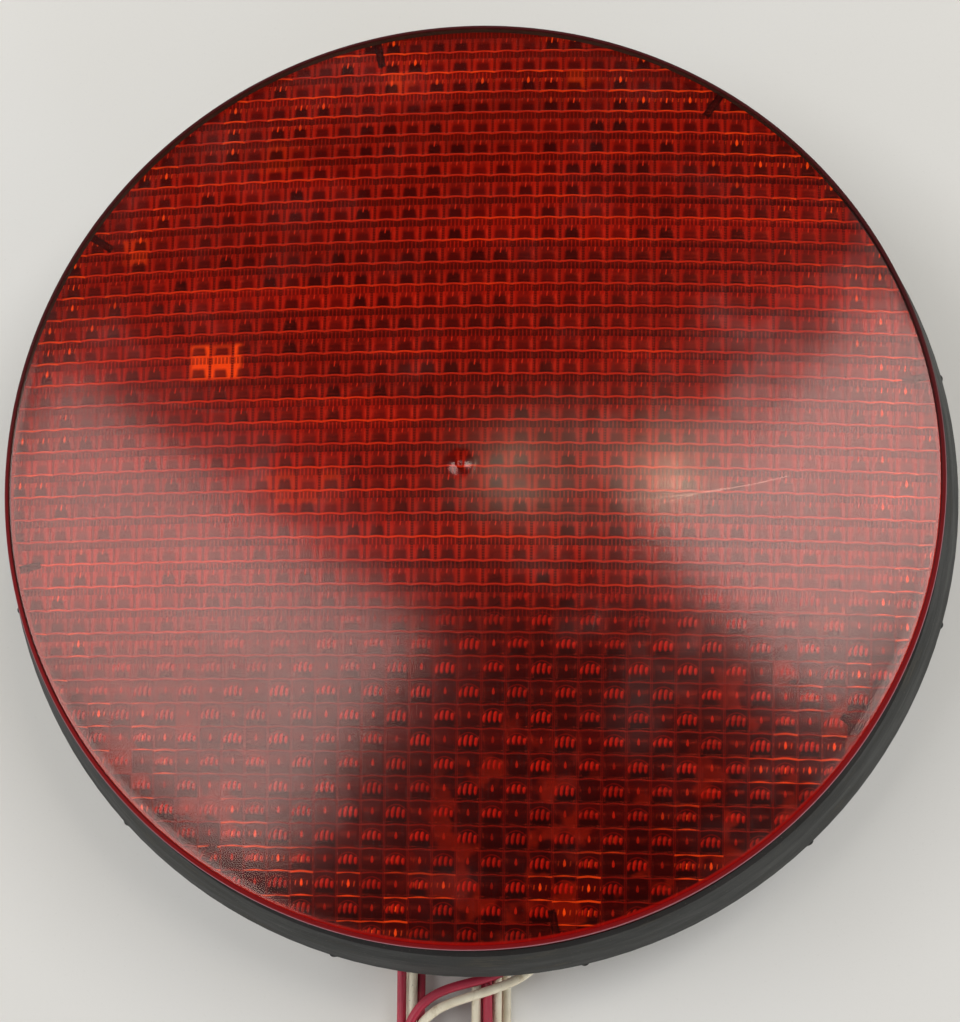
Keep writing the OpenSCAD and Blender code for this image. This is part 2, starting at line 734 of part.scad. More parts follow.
module hank_tie() {
    wide = 2 * (hank_r + gap);
    tall = hank_h + tie_rise;
    color([0.1, 0.1, 0.1]) {
        difference() {
            translate([hank_x - wide / 2 - tie_t, tie_y - tie_w / 2, 0])
                cube([wide + 2 * tie_t, tie_w, tall + tie_t]);
            translate([hank_x - wide / 2, tie_y - tie_w / 2 - eps, tie_t])
                cube([wide, tie_w + 2 * eps, tall - tie_t]);
        }
        translate([hank_x + 8, tie_y - tie_head[1] / 2, tall + tie_t - eps]) cube(tie_head);
    }
}

module sleeve(end) {
    translate(end) rotate([0, 90, 0]) difference() {
        cylinder(r = sleeve_r, h = sleeve_l, $fn = 32);
        translate([0, 0, sleeve_l - 3]) cube([tab_t + 0.4, tab_w - 1.4, 7], center = true);
    }
}

module tab(end) {
    translate([end[0] + sleeve_l - 2, end[1], end[2]]) {
        translate([0, -(tab_w - 2) / 2, -tab_t / 2]) cube([2.5, tab_w - 2, tab_t]);
        translate([2, -tab_w / 2, -tab_t / 2]) cube([tab_l, tab_w, tab_t]);
    }
}

module red_sleeve() { color([0.7, 0.1, 0.1]) sleeve(red_tail[len(red_tail) - 1]); }
module white_sleeve() { color([0.15, 0.3, 0.65]) sleeve(white_tail[len(white_tail) - 1]); }
module red_tab() { color([0.8, 0.78, 0.74]) tab(red_tail[len(red_tail) - 1]); }
module white_tab() { color([0.8, 0.78, 0.74]) tab(white_tail[len(white_tail) - 1]); }

outer_lens();
fresnel_lens();
lens_seal();
gasket();
housing();
heat_sink();
heat_sink_screws();
thermal_pad();
led_board();
leds();
optic_plate();
led_board_screws();
led_wires();
standoffs();
driver_board();
board_screws();
transformer_core();
transformer_winding();
choke();
bulk_capacitors();
film_capacitor();
varistor();
fuse();
rectifier();
transistor();
transistor_heat_sink();
controller_chip();
input_connector();
output_connector();
input_wires();
rear_cover();
cover_seal();
cover_screws();
vent_plug();
strain_relief();
red_lead();
white_lead();
lead_hank();
hank_tie();
red_sleeve();
red_tab();
white_sleeve();
white_tab();
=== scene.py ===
import json

import bpy
import numpy as np
from mathutils import Matrix, Vector

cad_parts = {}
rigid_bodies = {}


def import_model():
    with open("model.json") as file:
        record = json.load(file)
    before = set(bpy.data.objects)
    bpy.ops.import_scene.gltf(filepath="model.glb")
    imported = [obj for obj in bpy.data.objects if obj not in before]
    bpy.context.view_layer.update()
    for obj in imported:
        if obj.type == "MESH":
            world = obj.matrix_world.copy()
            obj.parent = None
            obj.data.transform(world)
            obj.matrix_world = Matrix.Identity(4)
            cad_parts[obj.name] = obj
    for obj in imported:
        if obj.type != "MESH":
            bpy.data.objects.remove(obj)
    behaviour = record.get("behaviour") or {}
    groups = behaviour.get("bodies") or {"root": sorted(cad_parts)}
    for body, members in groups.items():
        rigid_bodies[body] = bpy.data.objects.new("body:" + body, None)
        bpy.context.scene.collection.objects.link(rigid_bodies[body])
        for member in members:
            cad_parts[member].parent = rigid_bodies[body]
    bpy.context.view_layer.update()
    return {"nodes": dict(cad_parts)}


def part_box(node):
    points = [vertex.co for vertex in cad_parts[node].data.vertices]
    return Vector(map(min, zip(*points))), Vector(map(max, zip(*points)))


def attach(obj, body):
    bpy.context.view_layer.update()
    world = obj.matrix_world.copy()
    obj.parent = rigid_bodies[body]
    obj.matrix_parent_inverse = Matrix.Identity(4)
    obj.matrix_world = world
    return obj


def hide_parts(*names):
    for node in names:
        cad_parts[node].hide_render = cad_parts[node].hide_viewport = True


for leftover in list(bpy.data.objects):
    bpy.data.objects.remove(leftover, do_unlink=True)

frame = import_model()
nodes = frame["nodes"]
scene = bpy.context.scene
scene.view_settings.view_transform = "Standard"
print("stage 1: frame loaded,", len(nodes), "nodes")


# the camera
viewSetup = {
    "eye": (0.0526, -0.1448, 0.7198),       # metres, over the object and a little to its right
    "lookAt": (-0.0199, -0.0561, 0.084),
    "focalLength": 72.8,
    "shift": (0.0795, 0.1358),
    "roll": -0.65,                        # degrees
}


def makeCamera(setup):
    data = bpy.data.cameras.new("view")
    data.sensor_fit = "AUTO"
    data.sensor_width = 36.0
    data.lens = setup["focalLength"]
    data.shift_x, data.shift_y = setup["shift"]
    data.clip_start = 0.01
    data.clip_end = 50.0
    camera = bpy.data.objects.new("view", data)
    scene.collection.objects.link(camera)
    eye = Vector(setup["eye"])
    ahead = (Vector(setup["lookAt"]) - eye).normalized()
    roll = np.radians(setup["roll"])
    right = ahead.cross(Vector((np.sin(roll), np.cos(roll), 0.0))).normalized()
    up = right.cross(ahead)
    turn = Matrix((right, up, -ahead)).transposed().to_4x4()
    camera.matrix_world = Matrix.Translation(eye) @ turn
    scene.camera = camera


makeCamera(viewSetup)
print("stage 2: camera set")


# meshes made from arrays of points

def meshPiece(name, points, quads, tris=None):
    # one vertex per row of points; quads and tris hold the corner numbers of each face
    mesh = bpy.data.meshes.new(name)
    corners = quads.ravel()
    starts = np.arange(0, quads.size, 4)
    if tris is not None and len(tris):
        starts = np.concatenate([starts, quads.size + np.arange(0, tris.size, 3)])
        corners = np.concatenate([corners, tris.ravel()])
    mesh.vertices.add(len(points))
    mesh.vertices.foreach_set("co", points.astype(np.float32).ravel())
    mesh.loops.add(len(corners))
    mesh.loops.foreach_set("vertex_index", corners.astype(np.int32))
    mesh.polygons.add(len(starts))
    mesh.polygons.foreach_set("loop_start", starts.astype(np.int32))
    mesh.update(calc_edges=True)
    mesh.validate()
    mesh.polygons.foreach_set("use_smooth", np.ones(len(mesh.polygons), dtype=bool))
    piece = bpy.data.objects.new(name, mesh)
    scene.collection.objects.link(piece)
    return piece


def gridQuads(rows, columns, wrapRows=False, wrapColumns=False):
    # faces between neighbouring rows and columns of a grid of points
    r = np.arange(rows if wrapRows else rows - 1)[:, None]
    c = np.arange(columns if wrapColumns else columns - 1)[None, :]
    nextR = (r + 1) % rows
    nextC = (c + 1) % columns
    quads = [r * columns + c, r * columns + nextC, nextR * columns + nextC, nextR * columns + c]
    return np.stack(np.broadcast_arrays(*quads), axis=-1).reshape(-1, 4)


def turned(profile, segments):
    # a closed profile of (radius, height) carried once round the Z axis
    angle = np.arange(segments) * 2 * np.pi / segments
    x = profile[:, 0][None, :] * np.cos(angle)[:, None]
    y = profile[:, 0][None, :] * np.sin(angle)[:, None]
    z = np.broadcast_to(profile[:, 1][None, :], x.shape)
    return np.stack([x, y, z], axis=-1).reshape(-1, 3)


def smoothStep(value, low, high):
    t = np.clip((value - low) / (high - low), 0, 1)
    return t * t * (3 - 2 * t)


def splineThrough(knots, perSpan):
    # Catmull-Rom curve through the knots, perSpan points on each span
    p = np.vstack([2 * knots[0] - knots[1], knots, 2 * knots[-1] - knots[-2]])
    t = (np.arange(perSpan) / perSpan)[None, :, None]
    a, b, c, d = (p[k:len(p) - 3 + k][:, None, :] for k in range(4))
    spans = 0.5 * (2 * b + (c - a) * t + (2 * a - 5 * b + 4 * c - d) * t ** 2
                   + (3 * b - a - 3 * c + d) * t ** 3)
    return np.vstack([spans.reshape(-1, 3), knots[-1:]])


def evenly(path, step):
    # the same line with points a step apart
    run = np.concatenate([[0], np.cumsum(np.linalg.norm(np.diff(path, axis=0), axis=1))])
    count = int(round(run[-1] / step)) + 1
    at = np.linspace(0, run[-1], count)
    return np.stack([np.interp(at, run, path[:, k]) for k in range(3)], axis=1)


def eased(path, reach):
    # gaussian average over neighbouring points; the ends keep their place and heading
    k = np.arange(-3 * reach, 3 * reach + 1)
    weight = np.exp(-0.5 * (k / reach) ** 2)
    weight /= weight.sum()
    n = 3 * reach
    before = 2 * path[0] - path[n:0:-1]
    after = 2 * path[-1] - path[-2:-n - 2:-1]
    long = np.vstack([before, path, after])
    return np.stack([np.convolve(long[:, j], weight, mode="valid") for j in range(3)], axis=1)


def pathLength(path):
    return float(np.linalg.norm(np.diff(path, axis=0), axis=1).sum())


def sweptTube(path, radius, sides):
    # rings of corners square to the path: side = up x heading, top = heading x side; ends closed by fans
    heading = np.gradient(path, axis=0)
    heading /= np.linalg.norm(heading, axis=1)[:, None]
    side = np.cross(np.array([0.0, 0.0, 1.0]), heading)
    side /= np.linalg.norm(side, axis=1)[:, None]
    top = np.cross(heading, side)
    angle = (np.arange(sides) * 2 * np.pi / sides)[None, :, None]
    reach = np.broadcast_to(np.asarray(radius, dtype=float), (len(path),))[:, None, None]
    outward = side[:, None, :] * np.cos(angle) + top[:, None, :] * np.sin(angle)
    rings = path[:, None, :] + reach * outward
    points = np.vstack([rings.reshape(-1, 3), path[:1], path[-1:]])
    quads = gridQuads(len(path), sides, wrapColumns=True)
    k = np.arange(sides)
    nextK = (k + 1) % sides
    last = (len(path) - 1) * sides
    first = np.stack([np.full(sides, len(points) - 2), nextK, k], axis=1)
    end = np.stack([np.full(sides, len(points) - 1), last + k, last + nextK], axis=1)
    return points, quads, np.vstack([first, end])


class Wire:
    # a value in a material; each operator on it adds one Math node
    def __init__(self, bench, socket):
        self.bench = bench
        self.socket = socket

    def calc(self, operation, *values):
        return self.bench.node("ShaderNodeMath", {"operation": operation}, dict(enumerate(values)))

    def __add__(self, other):
        return self.calc("ADD", self, other)

    __radd__ = __add__

    def __sub__(self, other):
        return self.calc("SUBTRACT", self, other)

    def __rsub__(self, other):
        return self.calc("SUBTRACT", other, self)

    def __mul__(self, other):
        return self.calc("MULTIPLY", self, other)

    __rmul__ = __mul__

    def __truediv__(self, other):
        return self.calc("DIVIDE", self, other)

    def __abs__(self):
        return self.calc("ABSOLUTE", self)

    def __lt__(self, other):
        return self.calc("LESS_THAN", self, other)

    def __gt__(self, other):
        return self.calc("GREATER_THAN", self, other)

    def fract(self):
        return self.calc("FRACT", self)

    def floor(self):
        return self.calc("FLOOR", self)

    def cosine(self):
        return self.calc("COSINE", self)

    def root(self):
        return self.calc("SQRT", self)

    def least(self, other):
        return self.calc("MINIMUM", self, other)

    def most(self, other):
        return self.calc("MAXIMUM", self, other)

    def ramp(self, low, high, fromValue=0.0, toValue=1.0):
        # eased from fromValue at low to toValue at high
        return self.bench.node("ShaderNodeMapRange", {"interpolation_type": "SMOOTHSTEP"},
                               {0: self, 1: low, 2: high, 3: fromValue, 4: toValue})


class Bench:
    # the node tree of one material or world
    def __init__(self, owner):
        owner.use_nodes = True
        self.owner = owner
        self.tree = owner.node_tree
        self.tree.nodes.clear()

    def node(self, kind, settings=None, inputs=None, out=0):
        made = self.tree.nodes.new(kind)
        for key, value in (settings or {}).items():
            if key == "stops":
                ramp = made.color_ramp
                for k, (place, colour) in enumerate(value):
                    stop = ramp.elements[k] if k < len(ramp.elements) else ramp.elements.new(place)
                    stop.position = place
                    stop.color = colour
            else:
                setattr(made, key, value)
        for key, value in (inputs or {}).items():
            socket = made.inputs[key]
            if isinstance(value, Wire):
                self.tree.links.new(value.socket, socket)
            else:
                socket.default_value = value
        return Wire(self, made.outputs[out] if len(made.outputs) else None)

    def place(self):
        return self.node("ShaderNodeTexCoord", out=3)

    def xyz(self):
        place = self.place()
        return [self.node("ShaderNodeSeparateXYZ", None, {0: place}, out=k) for k in range(3)]

    def vector(self, x, y, z):
        return self.node("ShaderNodeCombineXYZ", None, {0: x, 1: y, 2: z})

    def stretched(self, vector, scale, turn=(0, 0, 0)):
        return self.node("ShaderNodeMapping", None, {0: vector, 2: turn, 3: scale})

    def noise(self, scale, detail=3.0, rough=0.55, vector=None):
        vector = vector or self.place()
        return self.node("ShaderNodeTexNoise", None,
                         {"Vector": vector, "Scale": scale, "Detail": detail, "Roughness": rough})

    def mixed(self, share, first, second, blend="MIX"):
        return self.node("ShaderNodeMix", {"data_type": "RGBA", "blend_type": blend},
                         {0: share, 6: first, 7: second}, out=2)

    def bump(self, height, strength, distance):
        return self.node("ShaderNodeBump", None,
                         {"Strength": strength, "Distance": distance, "Height": height})

    def surface(self, **sockets):
        return self.node("ShaderNodeBsdfPrincipled", None,
                         {titles[key]: value for key, value in sockets.items()})

    def seeThrough(self, share, tint, gloss):
        # share of the gloss over a clear body of the given tint
        clear = self.node("ShaderNodeBsdfTransparent", None, {0: tint})
        return self.finish(self.node("ShaderNodeMixShader", None, {0: share, 1: clear, 2: gloss}))

    def chance(self, x, y, z):
        # one random value for each whole-numbered place
        return self.node("ShaderNodeTexWhiteNoise", {"noise_dimensions": "3D"}, {0: self.vector(x, y, z)})

    def finish(self, shader):
        self.node("ShaderNodeOutputMaterial", None, {0: shader})
        return self.owner


titles = {
    "colour": "Base Color",
    "roughness": "Roughness",
    "metallic": "Metallic",
    "normal": "Normal",
    "coat": "Coat Weight",
    "specular": "Specular IOR Level",
    "specularTint": "Specular Tint",
}


fullTurn = 6.2832                            # radians
degreesInRadian = 57.29578
radiansInDegree = 0.0174533


def newBench(name):
    return Bench(bpy.data.materials.new(name))


def rgb(red, green, blue):
    # screen colour 0..255 to the linear colour that a shader takes
    c = np.array([red, green, blue]) / 255.0
    linear = np.where(c <= 0.04045, c / 12.92, ((c + 0.055) / 1.055) ** 2.4)
    return (float(linear[0]), float(linear[1]), float(linear[2]), 1.0)


def dimmed(colour, share):
    return tuple(share * c for c in colour[:3]) + (1.0,)


def putOn(piece, material):
    piece.data.materials.clear()
    piece.data.materials.append(material)


print("stage 3: tools ready")


# the two leads, in metres; their start and crossing points are in mm
leadSetup = {
    "diameter": 0.0032,
    "length": 0.914,
    "sides": 14,
    "halfLength": 0.0352,                    # half of a straight run in the hank
    "middleY": -0.1458,
    "levelZ": (0.0146, 0.0113, 0.0081, 0.00485, 0.0016),
    "centreX": (-0.0100, -0.0112, -0.0082, -0.0100, -0.0055),
    "tieY": -0.136,
    "tieRise": 0.0011,
    "tieSpread": 0.005,
    # x and z of the way to the terminals, in mm
    "tailPlaces": ((19, 1.7), (23, 2), (27, 2.8), (32, 2.8)),
    "step": 0.002,
}
redSetup = {
    "start": [(-1.9, -78, 16.5), (-1.9, -86, 16.5), (-1.9, -92, 16.5), (-1.6, -98, 15.8),
              (0.5, -106, 14.7)],
    "crossing": [(9, -120, 14.6), (16.6, -135, 14.6), (18, -147, 14.6), (8, -157, 14.6),
                 (-8, -161.5, 14.6), (-17.5, -166, 14.6), (-23.5, -174.5, 14.6)],
    "halfWidth": (0.0146, 0.0146, 0.0114, 0.0114, 0.0114),
    # start and end of each way down, counted in south turns
    "drops": ((0.6, 1.4), (0.5, 1.3), (-0.5, 0.5), (-0.5, 0.5)),
    "turnR": 0.0128,
    "tailY": -0.115,
}
whiteSetup = {
    "start": [(1.9, -78, 16.5), (1.9, -86, 16.5), (1.9, -92, 16.5), (2.4, -98, 15.8),
              (5, -106, 14.7)],
    "crossing": [(14, -120, 14.6), (22.5, -135, 14.6), (24, -148, 14.6), (15.5, -158, 14.6),
                 (0, -164, 14.6), (-13.0, -168.5, 14.6), (-20.6, -175.5, 14.6)],
    "halfWidth": (0.0112, 0.0108, 0.0147, 0.0147, 0.0147),
    "drops": ((0.1, 0.9), (-0.6, 0.5), (-0.6, 0.5), (-0.6, 0.5)),
    "turnR": 0.0105,
    "tailY": -0.125,
}


def hankPath(setup, own):
    # oblong loops run counterclockwise, down one level and a little sideways at each south turn,
    # then the last run up the east side turns right and lies out towards +X
    wide = np.array(own["halfWidth"])
    half = setup["halfLength"]
    pieces = []
    for level in range(4):
        share = np.linspace(0, 1, 160, endpoint=False)
        w = wide[level + 1]
        lap = 2 * np.pi * w + 4 * half
        s = share * lap
        low = np.pi * w                      # the south turn comes first, then east, north and west
        a = np.clip(s / low, 0, 1) * np.pi
        b = np.clip((s - low - 2 * half) / low, 0, 1) * np.pi
        east = np.clip(s - low, 0, 2 * half)
        west = np.clip(s - 2 * low - 2 * half, 0, 2 * half)
        unitX = np.where(s < low, -np.cos(a), np.where(s < 2 * low + 2 * half, np.cos(b), -1.0))
        sideY = np.where(s < low, -np.sin(a), np.sin(b) * (s < 2 * low + 2 * half))
        alongY = -half + east - west
        pieces.append(np.stack([unitX, sideY, alongY, s / low, np.full_like(s, level)], axis=1))
    run = np.vstack(pieces)
    unitX, sideY, alongY, phase, level = run.T
    lapLow = 2 + 4 * half / (np.pi * wide[1:])          # one lap counted in south turns
    drop = np.zeros(len(run))
    for k in range(4):
        begin, stop = own["drops"][k]
        here = np.where(level < k, phase - lapLow[min(k, 3) - 1], np.where(level == k, phase, 9.0))
        here = np.where(level < k - 1, -9.0, here)
        drop += smoothStep(here, begin, stop)
    steps = np.arange(5)
    z = np.interp(drop, steps, setup["levelZ"])
    centre = np.interp(drop, steps, setup["centreX"])
    width = np.interp(drop, steps, wide)
    x = centre + width * unitX
    y = setup["middleY"] + alongY + width * sideY
    loops = np.stack([x, y, z], axis=1)
    # the last lap stops part-way up the east side, where the lead turns right
    turnR = own["turnR"]
    eastX = setup["centreX"][4] + wide[4]
    upTo = own["tailY"] - turnR
    northTurn = 1 + 2 * half / (np.pi * wide[4])
    beyond = (alongY + setup["middleY"] > upTo) | (phase > northTurn)
    loops = loops[~((level == 3) & (phase >= 1) & beyond)]
    bend = np.linspace(0, np.pi / 2, 12)
    turn = np.stack([eastX + turnR * (1 - np.cos(bend)), upTo + turnR * np.sin(bend),
                     np.full(12, setup["levelZ"][4])], axis=1)
    tail = np.array([(x, own["tailY"] * 1000, z) for x, z in setup["tailPlaces"]]) / 1000
    tail = tail[tail[:, 0] > turn[-1, 0] + 0.001]
    head = splineThrough(np.array(own["start"] + own["crossing"]) / 1000, 24)
    whole = evenly(np.vstack([head, loops, turn, tail]), setup["step"])
    over = setup["tieRise"] * np.exp(-0.5 * ((whole[:, 1] - setup["tieY"]) / setup["tieSpread"]) ** 2)
    inHank = (np.arange(len(whole)) * setup["step"] > 0.03)
    onTail = whole[:, 0] > 0.0188
    whole[:, 2] += over * inHank * ~(onTail & (whole[:, 2] < 0.004))
    fixed = whole.copy()
    whole = eased(whole, 2)
    blend = np.clip(np.arange(len(whole)) / 6, 0, 1)[:, None]
    tailBlend = np.clip(np.arange(len(whole))[::-1] / 6, 0, 1)[:, None]
    keep = np.minimum(blend, tailBlend)
    return evenly(whole * keep + fixed * (1 - keep), setup["step"])


def insulation(name, base, grime, stains):
    bench = newBench(name)
    place = bench.place()
    broad = bench.noise(60, 3, 0.6, place)
    specksAndGlints = bench.noise(900, 2, 0.5, place)
    smear = bench.noise(240, 4, 0.65, bench.stretched(place, (1.0, 0.35, 1.0)))
    colour = bench.mixed(broad.ramp(0.35, 0.7, 0.0, 0.35), base, grime)
    colour = bench.mixed(smear.ramp(0.56, 0.72, 0.0, stains), colour, grime)
    colour = bench.mixed(specksAndGlints.ramp(0.66, 0.74, 0.0, 0.5), colour, rgb(70, 62, 52))
    relief = bench.bump(smear + specksAndGlints * 0.3, 0.25, 0.0004)
    shader = bench.surface(colour=colour, roughness=broad.ramp(0.3, 0.7, 0.38, 0.6), normal=relief,
                           specular=0.4)
    return bench.finish(shader)


redInsulation = insulation("redInsulation", rgb(168, 38, 62), rgb(96, 22, 34), 0.35)
whiteInsulation = insulation("whiteInsulation", rgb(226, 218, 196), rgb(150, 128, 88), 0.55)


def makeLead(name, path, material, nodeName):
    print("   ", name, "is", round(pathLength(path), 4), "m long,", len(path), "points")
    points, quads, tris = sweptTube(path, leadSetup["diameter"] / 2, leadSetup["sides"])
    lead = meshPiece(name, points, quads, tris)
    putOn(lead, material)
    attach(lead, "root")
    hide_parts(nodeName, "lead_hank")


redPath = hankPath(leadSetup, redSetup)
whitePath = hankPath(leadSetup, whiteSetup)
makeLead("redLead", redPath, redInsulation, "red_lead")
makeLead("whiteLead", whitePath, whiteInsulation, "white_lead")


# the tie round the hank
tieSetup = {
    "width": 0.0026,
    "thickness": 0.0011,
    "toothPitch": 0.0012,
    "toothDepth": 0.00016,
    "head": (0.0058, 0.0050, 0.0036),        # sizes of the head along X, Y and Z
    "headX": 0.004,
    "tailLength": 0.011,
    "tailRings": 24,
    "outline": 40,                           # points round the head
    "step": 0.0003,                          # between points along the strap
}


def strapPoints(path, heading, across, setup):
    # a flat strap with rounded edges along the path; its outer face goes up and down once per tooth
    outward = np.cross(across, heading)
    half, thick = setup["width"] / 2, setup["thickness"] / 2
    corner = np.array([(-1, -0.6), (-0.85, -1), (0.85, -1), (1, -0.6), (1, 0.6), (0.85, 1),
                       (0.3, 1), (-0.3, 1), (-0.85, 1), (-1, 0.6)])
    run = np.concatenate([[0], np.cumsum(np.linalg.norm(np.diff(path, axis=0), axis=1))])
    tooth = setup["toothDepth"] * (0.5 + 0.5 * np.cos(2 * np.pi * run / setup["toothPitch"]))
    cut = tooth[:, None] * (np.abs(corner[:, 0]) < 0.5) * (corner[:, 1] > 0)
    side = corner[None, :, 0] * half
    up = corner[None, :, 1] * thick - cut
    return path[:, None, :] + side[..., None] * across + up[..., None] * outward[:, None, :]


def hullTop(loop):
    # the upper side of the loop as x and z, for reading its height
    upper = loop[loop[:, 2] > loop[:, 2].mean()]
    order = np.argsort(upper[:, 0])
    return upper[order, 0], upper[order, 2]


def fans(first, centre, ring):
    # triangles from one centre point to a closed ring of points, turned the other way for the far end
    k = np.arange(ring)
    nextK = (k + 1) % ring
    return np.full(ring, centre), first + k, first + nextK


def makeTie(setup, leads, paths):
    # the strap follows the hull of the leads where they cross its plane, pulled tight round them
    cutY = leads["tieY"]
    inPlane = []
    for path in paths:
        y = path[:, 1] - cutY
        k = np.nonzero(y[:-1] * y[1:] <= 0)[0]
        share = (y[k] / (y[k] - y[k + 1]))[:, None]
        inPlane.append((path[k] + share * (path[k + 1] - path[k]))[:, [0, 2]])
    held = np.vstack(inPlane)
    angle = np.linspace(0, 2 * np.pi, 1440, endpoint=False)
    facing = np.stack([np.cos(angle), np.sin(angle)], axis=1)
    farthest = held[np.argmax(held @ facing.T, axis=0)]
    gap = leads["diameter"] / 2 + setup["thickness"] / 2
    ring = farthest + gap * facing
    ring = np.vstack([ring, ring[:1]])
    loop = np.stack([ring[:, 0], np.full(len(ring), cutY), ring[:, 1]], axis=1)
    loop = evenly(loop, setup["step"])[:-1]
    loop[:, 2] = np.maximum(loop[:, 2], setup["thickness"] / 2 + 0.00002)
    heading = np.roll(loop, -1, axis=0) - np.roll(loop, 1, axis=0)
    heading /= np.linalg.norm(heading, axis=1)[:, None]
    across = np.array([0.0, 1.0, 0.0])
    strap = strapPoints(loop, heading, across, setup)
    count = strap.shape[1]
    points = [strap.reshape(-1, 3)]
    quads = [gridQuads(len(loop), count, wrapRows=True, wrapColumns=True)[:, ::-1]]
    tris = []

    # the head: stacked rounded outlines, narrower at top and bottom, with a slot sunk in its end
    topZ = np.interp(setup["headX"], *hullTop(loop))
    sizeX, sizeY, sizeZ = (value / 2 for value in setup["head"])
    levels = np.array([(0.0, 0.90, 0.90), (0.10, 1, 1), (0.86, 1, 1), (1.0, 0.86, 0.86),
                       (1.0, 0.62, 0.55), (0.72, 0.56, 0.50)])
    n = setup["outline"]
    t = np.arange(n) * 2 * np.pi / n
    outlineX = np.sign(np.cos(t)) * np.abs(np.cos(t)) ** 0.35
    outlineY = np.sign(np.sin(t)) * np.abs(np.sin(t)) ** 0.35
    headRings = np.stack([setup["headX"] + sizeX * levels[:, 1, None] * outlineX,
                          cutY + sizeY * levels[:, 2, None] * outlineY,
                          topZ + 2 * sizeZ * levels[:, 0, None] + 0 * outlineX], axis=-1)
    start = len(points[0])
    ends = np.array([(setup["headX"], cutY, topZ), (setup["headX"], cutY, topZ + 2 * sizeZ * 0.72)])
    points.append(headRings.reshape(-1, 3))
    points.append(ends)
    quads.append(start + gridQuads(len(levels), n, wrapColumns=True))
    low = start + len(levels) * n
    middle, here, after = fans(start, low, n)
    tris.append(np.stack([middle, after, here], axis=1))
    tris.append(np.stack(fans(low - n, low + 1, n), axis=1))

    # the strap's end, which leaves the head upwards and bends over
    rings = setup["tailRings"]
    bend = np.linspace(0, 1.1, rings)
    reach = setup["tailLength"]
    tail = np.stack([setup["headX"] + reach * (1 - np.cos(bend)), np.full(rings, cutY),
                     topZ + 2 * sizeZ * 0.7 + 0.3 * reach * np.sin(bend)], axis=1)
    tailHeading = np.gradient(tail, axis=0)
    tailHeading /= np.linalg.norm(tailHeading, axis=1)[:, None]
    flat = strapPoints(tail, tailHeading, across, setup)
    start = low + 2
    points.append(flat.reshape(-1, 3))
    points.append(np.stack([tail[0], tail[-1]]))
    quads.append(start + gridQuads(rings, count, wrapColumns=True)[:, ::-1])
    low = start + rings * count
    tris.append(np.stack(fans(start, low, count), axis=1))
    middle, here, after = fans(low - count, low + 1, count)
    tris.append(np.stack([middle, after, here], axis=1))
    tie = meshPiece("hankTie", np.vstack(points), np.vstack(quads), np.vstack(tris))
    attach(tie, "root")
    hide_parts("hank_tie")
    return tie


hankTie = makeTie(tieSetup, leadSetup, (redPath, whitePath))
print("stage 4: leads laid")


# the lens
lensLow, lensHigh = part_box("outer_lens")
lensSetup = {
    "wall": 0.003,
    "sideR": 0.149,
    "flangeR": lensHigh.x,
    "flangeZ": lensLow.z,
    "flangeT": 0.003,
    "crownZ": lensHigh.z,
    "rimZ": lensHigh.z - 0.014,
    "edgeR": 0.0016,                         # rounding of the rim's outer edge
    "segments": 360,
}


def domeHeight(setup, radius, sunk=0.0):
    # the sphere that passes through the crown and the rim, lowered along its own radius by sunk
    rise = setup["crownZ"] - setup["rimZ"]
    ball = (setup["sideR"] ** 2 + rise ** 2) / (2 * rise)
    return setup["crownZ"] - ball + np.sqrt((ball - sunk) ** 2 - radius ** 2)


def makeLensShell(setup):
    # profile from the crown out over the rounded rim, down the wall, round the flange and back inside
    side = setup["sideR"]
    edge = setup["edgeR"]
    flat = np.linspace(0.0015, side - edge, 40)
    outer = np.stack([flat, domeHeight(setup, flat)], axis=1)
    turn = np.linspace(0.18, np.pi / 2, 8)
    edgeZ = domeHeight(setup, side - edge) - edge * np.cos(0.18)
    corner = np.stack([side - edge + edge * np.sin(turn), edgeZ + edge * np.cos(turn)], axis=1)
    low = setup["flangeZ"]
    flangeTop = low + setup["flangeT"]
    bevel = 0.0004
    wallDown = np.array([(side, edgeZ - 0.002), (side, edgeZ - 0.012), (side, flangeTop + bevel),
                         (side + bevel, flangeTop), (setup["flangeR"] - bevel, flangeTop),
                         (setup["flangeR"], flangeTop - bevel),
                         (setup["flangeR"], low + bevel), (setup["flangeR"] - bevel, low),
                         (side - setup["wall"], low)])
    inner = side - setup["wall"]
    back = np.linspace(inner, 0.0015, 40)
    inside = np.stack([back, domeHeight(setup, back, setup["wall"])], axis=1)
    profile = np.vstack([outer, corner, wallDown, inside])
    points = turned(profile, setup["segments"])
    count = len(profile)
    n = setup["segments"]
    quads = gridQuads(n, count, wrapRows=True)
    top = np.array([[0, 0, domeHeight(setup, 0.0)], [0, 0, domeHeight(setup, 0.0, setup["wall"])]])
    points = np.vstack([points, top])
    k = np.arange(n)
    nextK = (k + 1) % n
    crown = np.stack([np.full(n, len(points) - 2), k * count, nextK * count], axis=1)
    under = np.stack([np.full(n, len(points) - 1), nextK * count + count - 1,
                      k * count + count - 1], axis=1)
    shell = meshPiece("lensShell", points, quads[:, ::-1], np.vstack([crown, under]))
    # the second material goes on the inner face
    firstInside = len(profile) - len(inside) - 1
    inner = np.concatenate([np.arange(len(quads)) % (count - 1) >= firstInside,
                            np.repeat([False, True], n)])
    shell.data.materials.append(lensShellMaterial())
    shell.data.materials.append(lensInnerMaterial())
    shell.data.polygons.foreach_set("material_index", inner.astype(np.int32))
    return shell


